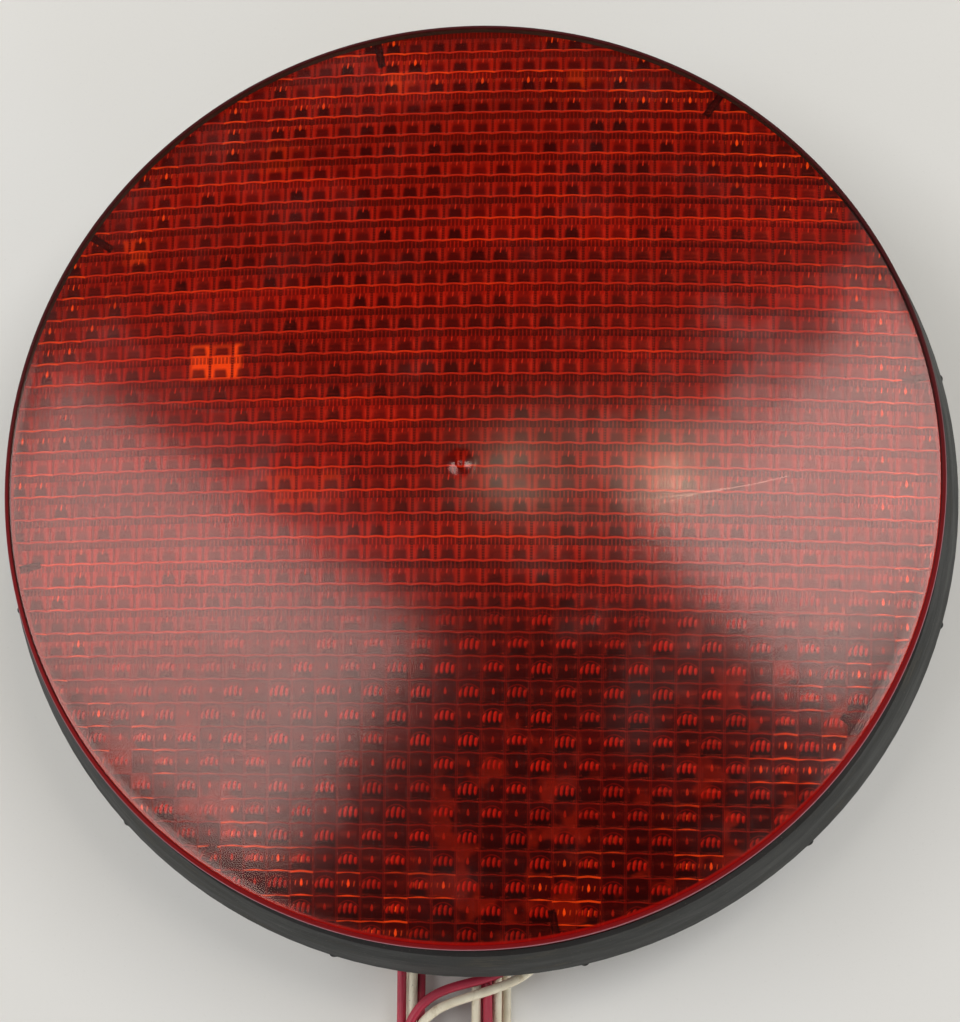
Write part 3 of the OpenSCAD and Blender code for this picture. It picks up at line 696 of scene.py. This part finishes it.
def lensShellMaterial():
    # a thin gloss over a see-through red wall; scratches turn it milky, the rim is nearly solid, with
    # painted shade on its +Y side, painted light on its −Y side and a painted pale highlight on its outer
    # edge
    bench = newBench("lensShell")
    x, y, z = bench.xyz()
    mmX, mmY = x * 1000, y * 1000
    radius = (mmX * mmX + mmY * mmY).root()
    place = bench.place()
    swirl = bench.noise(38, 2, 0.5, place)
    hairs = None
    for turn, wide in ((0.35, 900), (1.9, 700)):
        drawnOut = bench.stretched(place, (wide * 3.2, wide * 0.16, 1.0), (0, 0, turn))
        lines = bench.noise(1.0, 1, 0.5, drawnOut)
        thin = lines.ramp(0.62, 0.70)
        hairs = thin if hairs is None else hairs.most(thin)
    hairs = hairs * swirl.ramp(0.35, 0.62, 0.25, 1.0)
    marks = None
    for centreX, centreY, ringR, low, high, wide in scratchArcs:
        away = ((mmX - centreX) * (mmX - centreX) + (mmY - centreY) * (mmY - centreY)).root() - ringR
        mark = abs(away).ramp(wide, wide * 0.3) * (mmY > low) * (mmY < high)
        marks = mark if marks is None else marks.most(mark)
    dust = bench.noise(26, 3, 0.6, place).ramp(0.45, 0.75)
    marks = marks * (0.4 + 0.6 * dust)
    rim = radius.ramp(146.9, 147.0)
    wall = radius.ramp(147.0, 147.8)
    # painted shade and light: the rim wall is painted dark maroon on the +Y side and brighter red on the
    # −Y side
    wallColour = bench.mixed(mmY.ramp(-60.0, 60.0), rgb(112, 8, 12), rgb(58, 5, 8))
    # painted highlight: a pale pink line on the outermost edge of the rim, strongest on the −Y side
    edgeHighlight = radius.ramp(148.6, 148.8) * z.ramp(0.0825, 0.0832) * mmY.ramp(60.0, -20.0)
    wallColour = bench.mixed(edgeHighlight, wallColour, rgb(150, 96, 106))
    gate = (((mmX - 5.5) * (mmX - 5.5) + (mmY - 7.5) * (mmY - 7.5)).root() - 2.6)
    gate = abs(gate).ramp(0.35, 0.1)
    colour = bench.mixed(rim, rgb(255, 228, 220), wallColour)
    colour = bench.mixed(marks, colour, rgb(255, 205, 190))
    share = 0.045 + 0.016 * dust + 0.008 * hairs + 0.09 * marks + 0.015 * gate
    share = (share * (1.0 - rim)).most(wall * 0.96)
    roughness = 0.16 + 0.10 * dust + 0.04 * hairs + 0.34 * wall
    relief = bench.bump(bench.noise(14, 2, 0.5, place), 0.05, 0.004)
    gloss = bench.surface(colour=colour, roughness=roughness, metallic=1.0 - rim, normal=relief,
                          specular=0.08)
    return bench.seeThrough(share, (0.87, 0.60, 0.48, 1.0), gloss)


def lensInnerMaterial():
    # the inner face: nearly clear, with a faint uneven gloss
    bench = newBench("lensInner")
    uneven = bench.noise(60, 1, 0.5)
    gloss = bench.surface(colour=rgb(255, 120, 100), roughness=uneven.ramp(0.3, 0.7, 0.2, 0.35),
                          metallic=1.0)
    return bench.seeThrough(0.01, (1.0, 0.96, 0.95, 1.0), gloss)


# long scratches on the lens: centre x, centre y and radius of each arc, its lowest and highest y
# and its width, in mm
scratchArcs = (
    (-60, 40, 118, 18, 58, 0.30),
    (-160, -5, 206, -52, -22, 0.25),
    (-260, -150, 236, -122, -98, 0.25),
    (-66, 110, 92, 18, 27, 0.9),
    (40, 220, 232, -14, -4, 0.22),
    (120, -200, 196, -30, -8, 0.2),
)


prismSetup = {
    "pitch": 0.0074,
    "samplesX": 10,
    "samplesY": 12,
    "turn": -0.7,                            # degrees, how far the rows are turned in the lens
    "offset": (0.0, 0.0),
    "radius": 0.1476,
    "depth": 0.0032,                         # below the lens's outer face
    "ridge": 0.0009,
    "strips": 3,
}


def prismDepth(u, v, odd):
    # each cell is a wedge that falls away from the row's ridge, with a rounded pillow
    # and four flutes at its top
    ridge = np.exp(-(np.minimum(v, 1 - v) / 0.05) ** 2)
    wedge = 0.55 * v
    pillow = 0.35 * np.sin(np.pi * u) ** 0.5 * smoothStep(v, 0.3, 0.5) * smoothStep(v, 1.0, 0.85)
    flute = 0.18 * np.abs(np.sin(4 * np.pi * u)) * smoothStep(v, 0.32, 0.42) * smoothStep(v, 0.66, 0.56)
    gap = 0.3 * np.exp(-(np.minimum(u, 1 - u) / 0.05) ** 2)
    return 0.25 + wedge - pillow - flute * (0.4 + 0.6 * odd) + gap - 0.25 * ridge


def makePrisms(setup, shell, material):
    # a square grid of cells on the dome's inner face, cut to a circle and laid out in strips
    pitch = setup["pitch"]
    cells = int(np.ceil(setup["radius"] / pitch)) + 1
    nx, ny = 2 * cells * setup["samplesX"], 2 * cells * setup["samplesY"]
    gx = np.linspace(-cells, cells, nx + 1)
    gy = np.linspace(-cells, cells, ny + 1)
    cu, cv = np.meshgrid(gx, gy)
    turn = np.radians(setup["turn"])
    ox, oy = setup["offset"]
    x = pitch * (cu * np.cos(turn) - cv * np.sin(turn)) + ox
    y = pitch * (cu * np.sin(turn) + cv * np.cos(turn)) + oy
    u = cu - np.floor(cu)
    v = -cv - np.floor(-cv)
    odd = (np.floor(cu) + np.floor(-cv)) % 2
    r = np.hypot(x, y)
    pull = np.minimum(1.0, setup["radius"] / np.maximum(r, 1e-6))
    x, y = x * pull, y * pull
    edge = smoothStep(r, setup["radius"], setup["radius"] - 0.002)
    z = domeHeight(shell, np.hypot(x, y), setup["depth"]) - setup["ridge"] * prismDepth(u, v, odd) * edge
    points = np.stack([x, y, z], axis=-1).reshape(-1, 3)
    quads = gridQuads(ny + 1, nx + 1)
    middleR = r.reshape(-1)[quads].min(axis=1)
    quads = quads[middleR < setup["radius"]]
    share = np.array_split(np.arange(len(quads)), setup["strips"])
    for k, part in enumerate(share):
        used, renumbered = np.unique(quads[part], return_inverse=True)
        piece = meshPiece("lensPrisms" + str(k + 1), points[used], renumbered.reshape(-1, 4))
        putOn(piece, material)
        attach(piece, "root")
        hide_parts("outer_lens")
    print("    prisms:", len(quads) * 2, "triangles in", setup["strips"], "strips")


toneSetup = {
    "deep": rgb(48, 2, 3),
    "dark": rgb(74, 5, 4),
    "mid": rgb(122, 16, 8),
    "bright": rgb(170, 30, 12),
    "line": rgb(205, 52, 28),
    "amber": rgb(255, 92, 22),
    "ribFirst": -11.5,                       # degrees clockwise from +Y
    # middle, half sizes in mm and strength of each patch of painted amber glow
    "glowPatches": ((-79, 36, 9.5, 6.5, 0.95), (-21, 130, 5, 5, 0.35), (-50, -6, 14, 6, 0.22),
                    (-108, 75, 5, 5, 0.3), (38, 130, 6, 4, 0.25), (-60, 105, 8, 6, 0.12),
                    (112, -48, 6, 5, 0.25)),
}


def prismMaterial(setup, tone):
    # a pattern of cells in millimetres: a bright wavy row line, a ribbed band under it, then the cell's
    # dark square between bright sides with four flutes at its top; lower down, lobed and dotted
    # cells take turns
    bench = newBench("lensPrisms")
    x, y = bench.xyz()[:2]
    turn = np.radians(setup["turn"])
    ox, oy = setup["offset"]
    mmX, mmY = (x - ox) * 1000, (y - oy) * 1000
    pitch = setup["pitch"] * 1000
    cu = (mmX * float(np.cos(turn)) + mmY * float(np.sin(turn))) / pitch
    cv = (mmX * float(np.sin(turn)) - mmY * float(np.cos(turn))) / pitch
    u, v = cu.fract(), cv.fract()
    column, row = cu.floor(), cv.floor()
    chance = bench.chance(column, row, 0.0)
    luck = bench.chance(column + 31.0, row + 7.0, 3.0)
    odd = abs((column + row) * 0.5).fract() * 2.0
    radius = (mmX * mmX + mmY * mmY).root()
    place = bench.place()
    warp = bench.noise(90, 2, 0.5, place)
    broad = bench.noise(9, 2, 0.5, place)
    streaks = bench.noise(22, 2, 0.55, bench.stretched(place, (0.55, 2.6, 1.0)))
    lower = (mmY - 0.12 * mmX + 26.0 * (broad - 0.5)).ramp(-26.0, -72.0)

    # distances inside a cell
    fromLine = abs((v + 0.5).fract() - 0.5 - 0.022 * (u * fullTurn).cosine() - 0.03 * (warp - 0.5))
    line = fromLine.ramp(0.058, 0.022)
    band = v.ramp(0.045, 0.07) * v.ramp(0.36, 0.33)
    fineRib = abs((u * 6.0).fract() - 0.5).ramp(0.26, 0.42)
    fromSide = 0.5 - abs(u - 0.5)
    ladder = abs((v * 9.0).fract() - 0.5).ramp(0.22, 0.32)
    gapLine = fromSide.ramp(0.075, 0.045) * (0.62 + 0.38 * ladder)
    body = v.ramp(0.32, 0.36)
    pillar = fromSide.ramp(0.34, 0.10) * body
    ragged = fromSide + 0.2 * (warp - 0.5) - 0.14 * (1.0 - v)
    square = ragged.ramp(0.10, 0.26) * (v + 0.14 * (luck - 0.5)).ramp(0.48, 0.66) * v.ramp(1.0, 0.93)
    slant = u + 0.12 * (v - 0.45)
    flute = abs((slant * 4.0 + 0.5).fract() - 0.5)
    tickEnd = 0.50 + 0.16 * fromSide + 0.1 * (luck - 0.5)
    tick = flute.ramp(0.15, 0.05) * v.ramp(0.34, 0.38) * (v - tickEnd).ramp(0.03, -0.05)
    tick = tick * fromSide.ramp(0.2, 0.5, 0.35, 1.0)
    lean = u + 0.14 * (v - 0.45) + 0.03 * (warp - 0.5)
    finger = ((lean - 0.05) * (4.0 / 0.9)).fract() - 0.5
    lobeTop = 0.22 + 1.1 * (u - 0.5) * (u - 0.5) + 0.5 * finger * finger
    lobeLow = v + 0.7 * finger * finger + 0.12 * (luck - 0.5)
    lobe = (v - lobeTop).ramp(0.0, 0.05) * lobeLow.ramp(0.74, 0.60)
    lobe = lobe * abs(finger + 0.08).ramp(0.42, 0.20) * fromSide.ramp(0.05, 0.07)
    arch = abs(v - 0.17 - 1.2 * (u - 0.5) * (u - 0.5)).ramp(0.035, 0.012) * fromSide.ramp(0.04, 0.08)
    block = (ragged + 0.05).ramp(0.06, 0.16) * v.ramp(0.62, 0.70) * v.ramp(0.99, 0.95)
    dropWide = 0.03 + 0.16 * (v - 0.27)
    dropAcross, dropAlong = (u - 0.5) / dropWide, (v - 0.44) / 0.155
    dropR = (dropAcross * dropAcross + dropAlong * dropAlong).root()
    dot = dropR.ramp(1.15, 0.75) * v.ramp(0.27, 0.29)
    thinSide = abs(fromSide - 0.03).ramp(0.03, 0.012)

    # upper look
    ripple = streaks.ramp(0.32, 0.68)
    rowLuck = bench.chance(row, 5.0, 9.0)
    heat = (0.22 + 0.45 * ripple + 0.45 * (chance - 0.5) + 0.5 * (rowLuck - 0.5)).most(0.0).least(1.0)
    lit = streaks.ramp(0.50, 0.64)
    strong = 0.4 + 0.6 * odd
    upper = bench.mixed(heat, tone["dark"], tone["mid"])
    upper = bench.mixed(pillar * (0.3 + 0.7 * heat), upper, tone["bright"])
    upper = bench.mixed(square * (0.2 + 0.75 * luck), upper, rgb(42, 3, 4))
    upper = bench.mixed(band * (1.0 - lit * 0.6), upper, tone["deep"])
    upper = bench.mixed(band * (0.45 + 0.55 * lit) * fineRib * 0.8, upper, tone["bright"])
    upper = bench.mixed(tick * strong * 0.85, upper, tone["line"])
    upper = bench.mixed(gapLine * 0.85, upper, tone["deep"])
    upper = bench.mixed(line * (0.8 + 0.2 * lit), upper, bench.mixed(lit, tone["line"], rgb(226, 66, 20)))

    # lower look
    dimness = (0.5 * ripple + 0.8 * (luck - 0.4)).most(0.0).least(1.0)
    base = bench.mixed(dimness, tone["deep"], tone["dark"])
    low = bench.mixed(thinSide * 0.5, base, tone["mid"])
    low = bench.mixed(block * (0.35 + 0.5 * odd), low, rgb(30, 1, 2))
    low = bench.mixed(arch * odd * 0.6, low, tone["mid"])
    lobeShare = lobe * odd * finger.ramp(0.35, -0.35, 0.25, 1.0) * (0.55 + 0.45 * chance)
    low = bench.mixed(lobeShare, low, rgb(196, 32, 16))
    low = bench.mixed(dot * (1.0 - odd) * (0.4 + 0.6 * chance), low, tone["bright"])
    # brighter orange-red blotches here and there in the lower cells
    brightBlotch = warp.ramp(0.50, 0.62) * broad.ramp(0.42, 0.62) * (chance > 0.35)
    low = bench.mixed(brightBlotch * (1.0 - lobe * odd) * 0.38, low, rgb(168, 40, 14))
    low = bench.mixed(fromLine.ramp(0.045, 0.015) * 0.7, low, tone["mid"])
    colour = bench.mixed(lower, upper, low)

    # slow warm drift, painted amber glow in patches, painted amber glints in specks towards the rim, and
    # the housing's ribs that show as dark marks at the rim
    warm = (mmY - mmX * 0.8).ramp(-90.0, 170.0) * broad.ramp(0.3, 0.7, 0.6, 1.0)
    colour = bench.mixed(warm * (1.0 - square) * 0.12, colour, tone["line"])
    # painted glow: these patches turn the cells amber as though lit
    amberGlow = None
    for px, py, wide, high, power in tone["glowPatches"]:
        inX = abs(mmX - px).ramp(wide, wide * 0.75)
        inY = abs(mmY - py).ramp(high, high * 0.75)
        patch = inX * inY * power
        amberGlow = patch if amberGlow is None else amberGlow.most(patch)
    amberGlow = amberGlow * (1.0 - gapLine) * (0.35 + 0.65 * (luck > 0.3))
    amberGlow = amberGlow * (1.0 - 0.9 * square) * (1.0 - 0.6 * band * (1.0 - fineRib))
    # painted glints: amber specks on ticks, dots and row lines towards the rim
    specksAndGlints = tick.most(dot * (1.0 - odd)).most(line * 0.8) * (luck > 0.72) * radius.ramp(118.0, 138.0)
    colour = bench.mixed(amberGlow.most(specksAndGlints), colour, tone["amber"])
    bearing = mmX.calc("ARCTAN2", mmX, mmY) * degreesInRadian
    sector = ((bearing - tone["ribFirst"]) / 45.0 + 0.5).fract() - 0.5
    across = abs(sector * 45.0 * radiansInDegree * radius)
    ribMark = across.ramp(1.5, 1.0) * radius.ramp(138.6, 139.4)
    hollow = (across - 0.55).ramp(0.25, 0.0) * radius.ramp(139.8, 140.6)
    colour = bench.mixed(ribMark, colour, bench.mixed(hollow * 0.5, rgb(30, 3, 4), rgb(64, 6, 6)))
    # painted light: a bright red band just inside the rim, on the −Y side only
    litRimBand = radius.ramp(146.2, 146.8) * mmY.ramp(60.0, -20.0)
    colour = bench.mixed(litRimBand, colour, rgb(150, 14, 12))
    height = abs((v + 0.5).fract() - 0.5).ramp(0.058, 0.022) - fromSide.ramp(0.075, 0.045) * 0.6
    relief = bench.bump(height, 0.6, 0.0004)
    shader = bench.surface(colour=colour, roughness=ripple.ramp(0.0, 1.0, 0.30, 0.22), normal=relief,
                           specular=0.4, specularTint=(1.0, 0.10, 0.05, 1.0))
    return bench.finish(shader)


prismLook = prismMaterial(prismSetup, toneSetup)
lensShell = makeLensShell(lensSetup)
lensShell.visible_shadow = False             # light reaches the prisms through the clear wall
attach(lensShell, "root")
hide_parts("outer_lens")
makePrisms(prismSetup, lensSetup, prismLook)
print("stage 5: lens made")


def rubber(name):
    # dull black rubber with brown dust rubbed along it
    bench = newBench(name)
    x, y, z = bench.xyz()
    bearing = x.calc("ARCTAN2", y, x)
    radius = (x * x + y * y).root()
    along = bench.vector(bearing * 0.15, radius * 3.0, z * 6.0)
    streak = bench.noise(38, 4, 0.6, along)
    fine = bench.noise(160, 3, 0.6, along)
    grain = bench.noise(1800, 2, 0.5)
    broad = bench.noise(10, 3, 0.6)
    colour = bench.mixed(broad.ramp(0.3, 0.7), rgb(25, 27, 27), rgb(36, 37, 35))
    nearSide = y.ramp(0.06, -0.04, 0.15, 1.0)
    dusty = streak.ramp(0.54, 0.74, 0.0, 0.4) * fine.ramp(0.35, 0.6) * nearSide
    colour = bench.mixed(dusty, colour, rgb(84, 76, 60))
    colour = bench.mixed(grain.ramp(0.68, 0.74, 0.0, 0.5), colour, rgb(120, 112, 96))
    relief = bench.bump(grain * 0.5 + fine, 0.22, 0.0004)
    return bench.finish(bench.surface(colour=colour, roughness=streak.ramp(0.3, 0.7, 0.55, 0.78),
                                      normal=relief, specular=0.35))


def moulded(name, base, worn, roughness, grainScale, grainDepth, metallic=0.0, coat=0.0, dirt=0.35):
    # moulded or machined stock: slow colour drift, grime in patches, fine grain in the surface
    bench = newBench(name)
    place = bench.place()
    drift = bench.noise(24, 3, 0.55, place)
    grime = bench.noise(70, 5, 0.62, place)
    grain = bench.noise(grainScale, 3, 0.6, place)
    colour = bench.mixed(drift.ramp(0.3, 0.7), base, worn)
    colour = bench.mixed(grime.ramp(0.55, 0.75, 0.0, dirt), colour, dimmed(base, 0.35))
    colour = bench.mixed(grain.ramp(0.66, 0.75, 0.0, 0.3), colour, worn)
    relief = bench.bump(grain, grainDepth, 0.0003)
    shade = grime.ramp(0.3, 0.7, max(roughness - 0.1, 0.05), min(roughness + 0.14, 1.0))
    return bench.finish(bench.surface(colour=colour, roughness=shade, metallic=metallic, normal=relief,
                                      coat=coat))


def boardFinish(name, base, mask):
    # circuit board: lacquer over copper tracks on a coarse grid, with tinned pads
    bench = newBench(name)
    x, y = bench.xyz()[:2]
    grid = 2.54 / 1000
    u, v = (x / grid).fract(), (y / grid).fract()
    chance = bench.chance((x / grid).floor(), (y / grid).floor(), 0.0)
    run = abs(u - 0.5).ramp(0.16, 0.12) * (chance > 0.45)
    run = run.most(abs(v - 0.5).ramp(0.16, 0.12) * (chance < 0.4))
    pad = ((u - 0.5) * (u - 0.5) + (v - 0.5) * (v - 0.5)).root().ramp(0.28, 0.24) * (chance > 0.8)
    drift = bench.noise(60, 3, 0.6)
    colour = bench.mixed(run * 0.6, base, mask)
    colour = bench.mixed(drift.ramp(0.4, 0.8, 0.0, 0.3), colour, dimmed(base, 0.5))
    colour = bench.mixed(pad, colour, rgb(190, 188, 180))
    relief = bench.bump(run + pad, 0.3, 0.0001)
    return bench.finish(bench.surface(colour=colour, roughness=pad.ramp(0.0, 1.0, 0.38, 0.25),
                                      metallic=pad * 0.9, normal=relief, coat=0.3))


def clearPlastic(name):
    # clear acrylic with faint dust and handling haze
    bench = newBench(name)
    haze = bench.noise(40, 4, 0.6)
    scuff = bench.noise(500, 3, 0.6)
    gloss = bench.surface(colour=rgb(225, 232, 232), roughness=haze.ramp(0.3, 0.7, 0.06, 0.22),
                          normal=bench.bump(scuff, 0.1, 0.0002))
    return bench.seeThrough(haze.ramp(0.3, 0.8, 0.14, 0.3), (0.97, 0.98, 0.98, 1.0), gloss)


def wound(name, base, dark, pitch, metallic):
    # turns of wire or tape that lie side by side up the coil, with painted shade between the turns
    bench = newBench(name)
    z = bench.xyz()[2]
    turns = abs((z / pitch).fract() - 0.5)
    drift = bench.noise(90, 3, 0.6)
    # painted shade: darker where neighbouring turns meet
    colour = bench.mixed(turns.ramp(0.32, 0.5, 0.0, 0.8), base, dark)
    colour = bench.mixed(drift.ramp(0.4, 0.75, 0.0, 0.3), colour, dark)
    relief = bench.bump(1.0 - turns * 2.0, 0.5, 0.0003)
    return bench.finish(bench.surface(colour=colour, roughness=drift.ramp(0.3, 0.7, 0.28, 0.45),
                                      metallic=metallic, normal=relief))


finishes = {
    "clear_plastic": clearPlastic("clearPlastic"),
    "silicone": moulded("silicone", rgb(196, 194, 188), rgb(176, 172, 164), 0.5, 600, 0.15),
    "epdm_rubber": rubber("epdmRubber"),
    "housing_plastic": moulded("housingPlastic", rgb(42, 42, 44), rgb(56, 55, 54), 0.5, 1100, 0.3),
    "heat_sink_metal": moulded("heatSinkMetal", rgb(178, 180, 182), rgb(152, 154, 158), 0.38, 1400,
                               0.2, 1.0),
    "screw_steel": moulded("screwSteel", rgb(168, 166, 160), rgb(132, 128, 120), 0.3, 1600, 0.15, 1.0),
    "led_board": boardFinish("ledBoard", rgb(224, 224, 218), rgb(240, 240, 236)),
    "led_resin": moulded("ledResin", rgb(236, 214, 150), rgb(214, 186, 120), 0.15, 1500,
                         0.08, 0.0, 1.0, 0.15),
    "red_insulation": redInsulation,
    "white_insulation": whiteInsulation,
    "standoff_brass": moulded("standoffBrass", rgb(196, 160, 88), rgb(164, 126, 62), 0.28, 1500,
                              0.12, 1.0),
    "driver_board": boardFinish("driverBoard", rgb(30, 84, 48), rgb(58, 118, 66)),
    "ferrite": moulded("ferrite", rgb(52, 50, 50), rgb(70, 66, 64), 0.6, 700, 0.4),
    "winding_tape": wound("windingTape", rgb(206, 168, 60), rgb(150, 112, 36), 0.0011, 0.0),
    "enamelled_wire": wound("enamelledWire", rgb(186, 92, 40), rgb(96, 40, 18), 0.0008, 0.8),
    "capacitor_sleeve": moulded("capacitorSleeve", rgb(34, 40, 66), rgb(44, 52, 84), 0.3, 1200,
                                0.1, 0.0, 0.4),
    "varistor_blue": moulded("varistorBlue", rgb(34, 92, 168), rgb(28, 74, 140), 0.35, 500,
                             0.3, 0.0, 0.3),
    "tinned_metal": moulded("tinnedMetal", rgb(206, 204, 196), rgb(170, 166, 156), 0.28, 1500, 0.12, 1.0),
    "black_epoxy": moulded("blackEpoxy", rgb(30, 30, 32), rgb(42, 41, 41), 0.55, 1300, 0.3),
    "connector_nylon": moulded("connectorNylon", rgb(222, 216, 200), rgb(204, 194, 172), 0.45, 900, 0.15),
    "vent_plastic": moulded("ventPlastic", rgb(48, 48, 50), rgb(64, 63, 62), 0.55, 1000, 0.25),
    "red_vinyl": moulded("redVinyl", rgb(186, 34, 38), rgb(150, 26, 30), 0.4, 800, 0.18),
    "blue_vinyl": moulded("blueVinyl", rgb(40, 84, 172), rgb(32, 64, 134), 0.4, 800, 0.18),
    "red_lens": lensShell.data.materials[0],
}


def dressNodes():
    # every CAD node takes the finish of its own material slot
    for piece in nodes.values():
        for place in piece.material_slots:
            slotName = place.material.name.split(".")[0]
            place.material = finishes[slotName]


dressNodes()
putOn(hankTie, finishes["vent_plastic"])
print("stage 6: finishes on", len(nodes), "nodes")


# floor and light
lightSetup = {
    "floorSize": 12.0,
    "skyLow": 1.65,                          # brightness of the walls round the table
    "skyHigh": 0.012,                        # brightness straight above
    "panelZ": 1.6,
    # corner x, corner y, direction of one edge in degrees, two sizes, watts
    "panels": (
        ("leftPanel", -0.20, -0.04, 144, 1.25, 0.70, 12.0),
        ("rightPanel", 0.28, 0.21, -45, 0.62, 0.95, 11.0),
    ),
    "spotColour": (1.0, 0.9, 0.68),
    "spots": (("spotOne", 0.0, 0.32, 0.05, 0.34), ("spotTwo", 0.33, 0.32, 0.05, 0.62)),
}


def makeFloor(size):
    half = size / 2
    points = half * np.array([(-1.0, -1.0, 0.0), (1.0, -1.0, 0.0), (1.0, 1.0, 0.0), (-1.0, 1.0, 0.0)])
    floor = meshPiece("floor", points, np.array([[0, 1, 2, 3]]))
    bench = newBench("paleFloor")
    drift = bench.noise(3, 3, 0.5)
    grain = bench.noise(900, 3, 0.6)
    colour = bench.mixed(drift.ramp(0.3, 0.7), rgb(219, 217, 212), rgb(224, 223, 220))
    colour = bench.mixed(grain.ramp(0.60, 0.75, 0.0, 0.12), colour, rgb(186, 184, 178))
    relief = bench.bump(grain, 0.06, 0.0003)
    putOn(floor, bench.finish(bench.surface(colour=colour, roughness=0.7, normal=relief, specular=0.2)))


def makeSky(setup):
    world = bpy.data.worlds.new("room")
    scene.world = world
    bench = Bench(world)
    heading = bench.node("ShaderNodeTexCoord", out=0)
    up = bench.node("ShaderNodeSeparateXYZ", None, {0: heading}, out=2)
    strength = up.ramp(0.40, 0.72, setup["skyLow"], setup["skyHigh"])
    back = bench.node("ShaderNodeBackground", None, {0: (1.0, 0.99, 0.97, 1.0), 1: strength})
    bench.node("ShaderNodeOutputWorld", None, {0: back})


def addArea(name, centre, sizeX, sizeY, heading, watts, colour=(1.0, 1.0, 1.0)):
    data = bpy.data.lights.new(name, "AREA")
    data.shape = "RECTANGLE"
    data.size = sizeX
    data.size_y = sizeY
    data.energy = watts
    data.color = colour
    lamp = bpy.data.objects.new(name, data)
    scene.collection.objects.link(lamp)
    turn = Matrix.Rotation(np.radians(heading), 4, "Z")
    lamp.matrix_world = Matrix.Translation(Vector(centre)) @ turn


def makeLights(setup):
    for name, cornerX, cornerY, heading, sizeX, sizeY, watts in setup["panels"]:
        along = np.array([np.cos(np.radians(heading)), np.sin(np.radians(heading))])
        across = np.array([-along[1], along[0]])
        middle = np.array([cornerX, cornerY]) + along * sizeX / 2 + across * sizeY / 2
        addArea(name, (middle[0], middle[1], setup["panelZ"]), sizeX, sizeY, heading, watts)
    for name, x, y, size, watts in setup["spots"]:
        addArea(name, (x, y, setup["panelZ"]), size, size, 0, watts, setup["spotColour"])


makeFloor(lightSetup["floorSize"])
makeSky(lightSetup)
makeLights(lightSetup)
print("stage 7: floor and light")
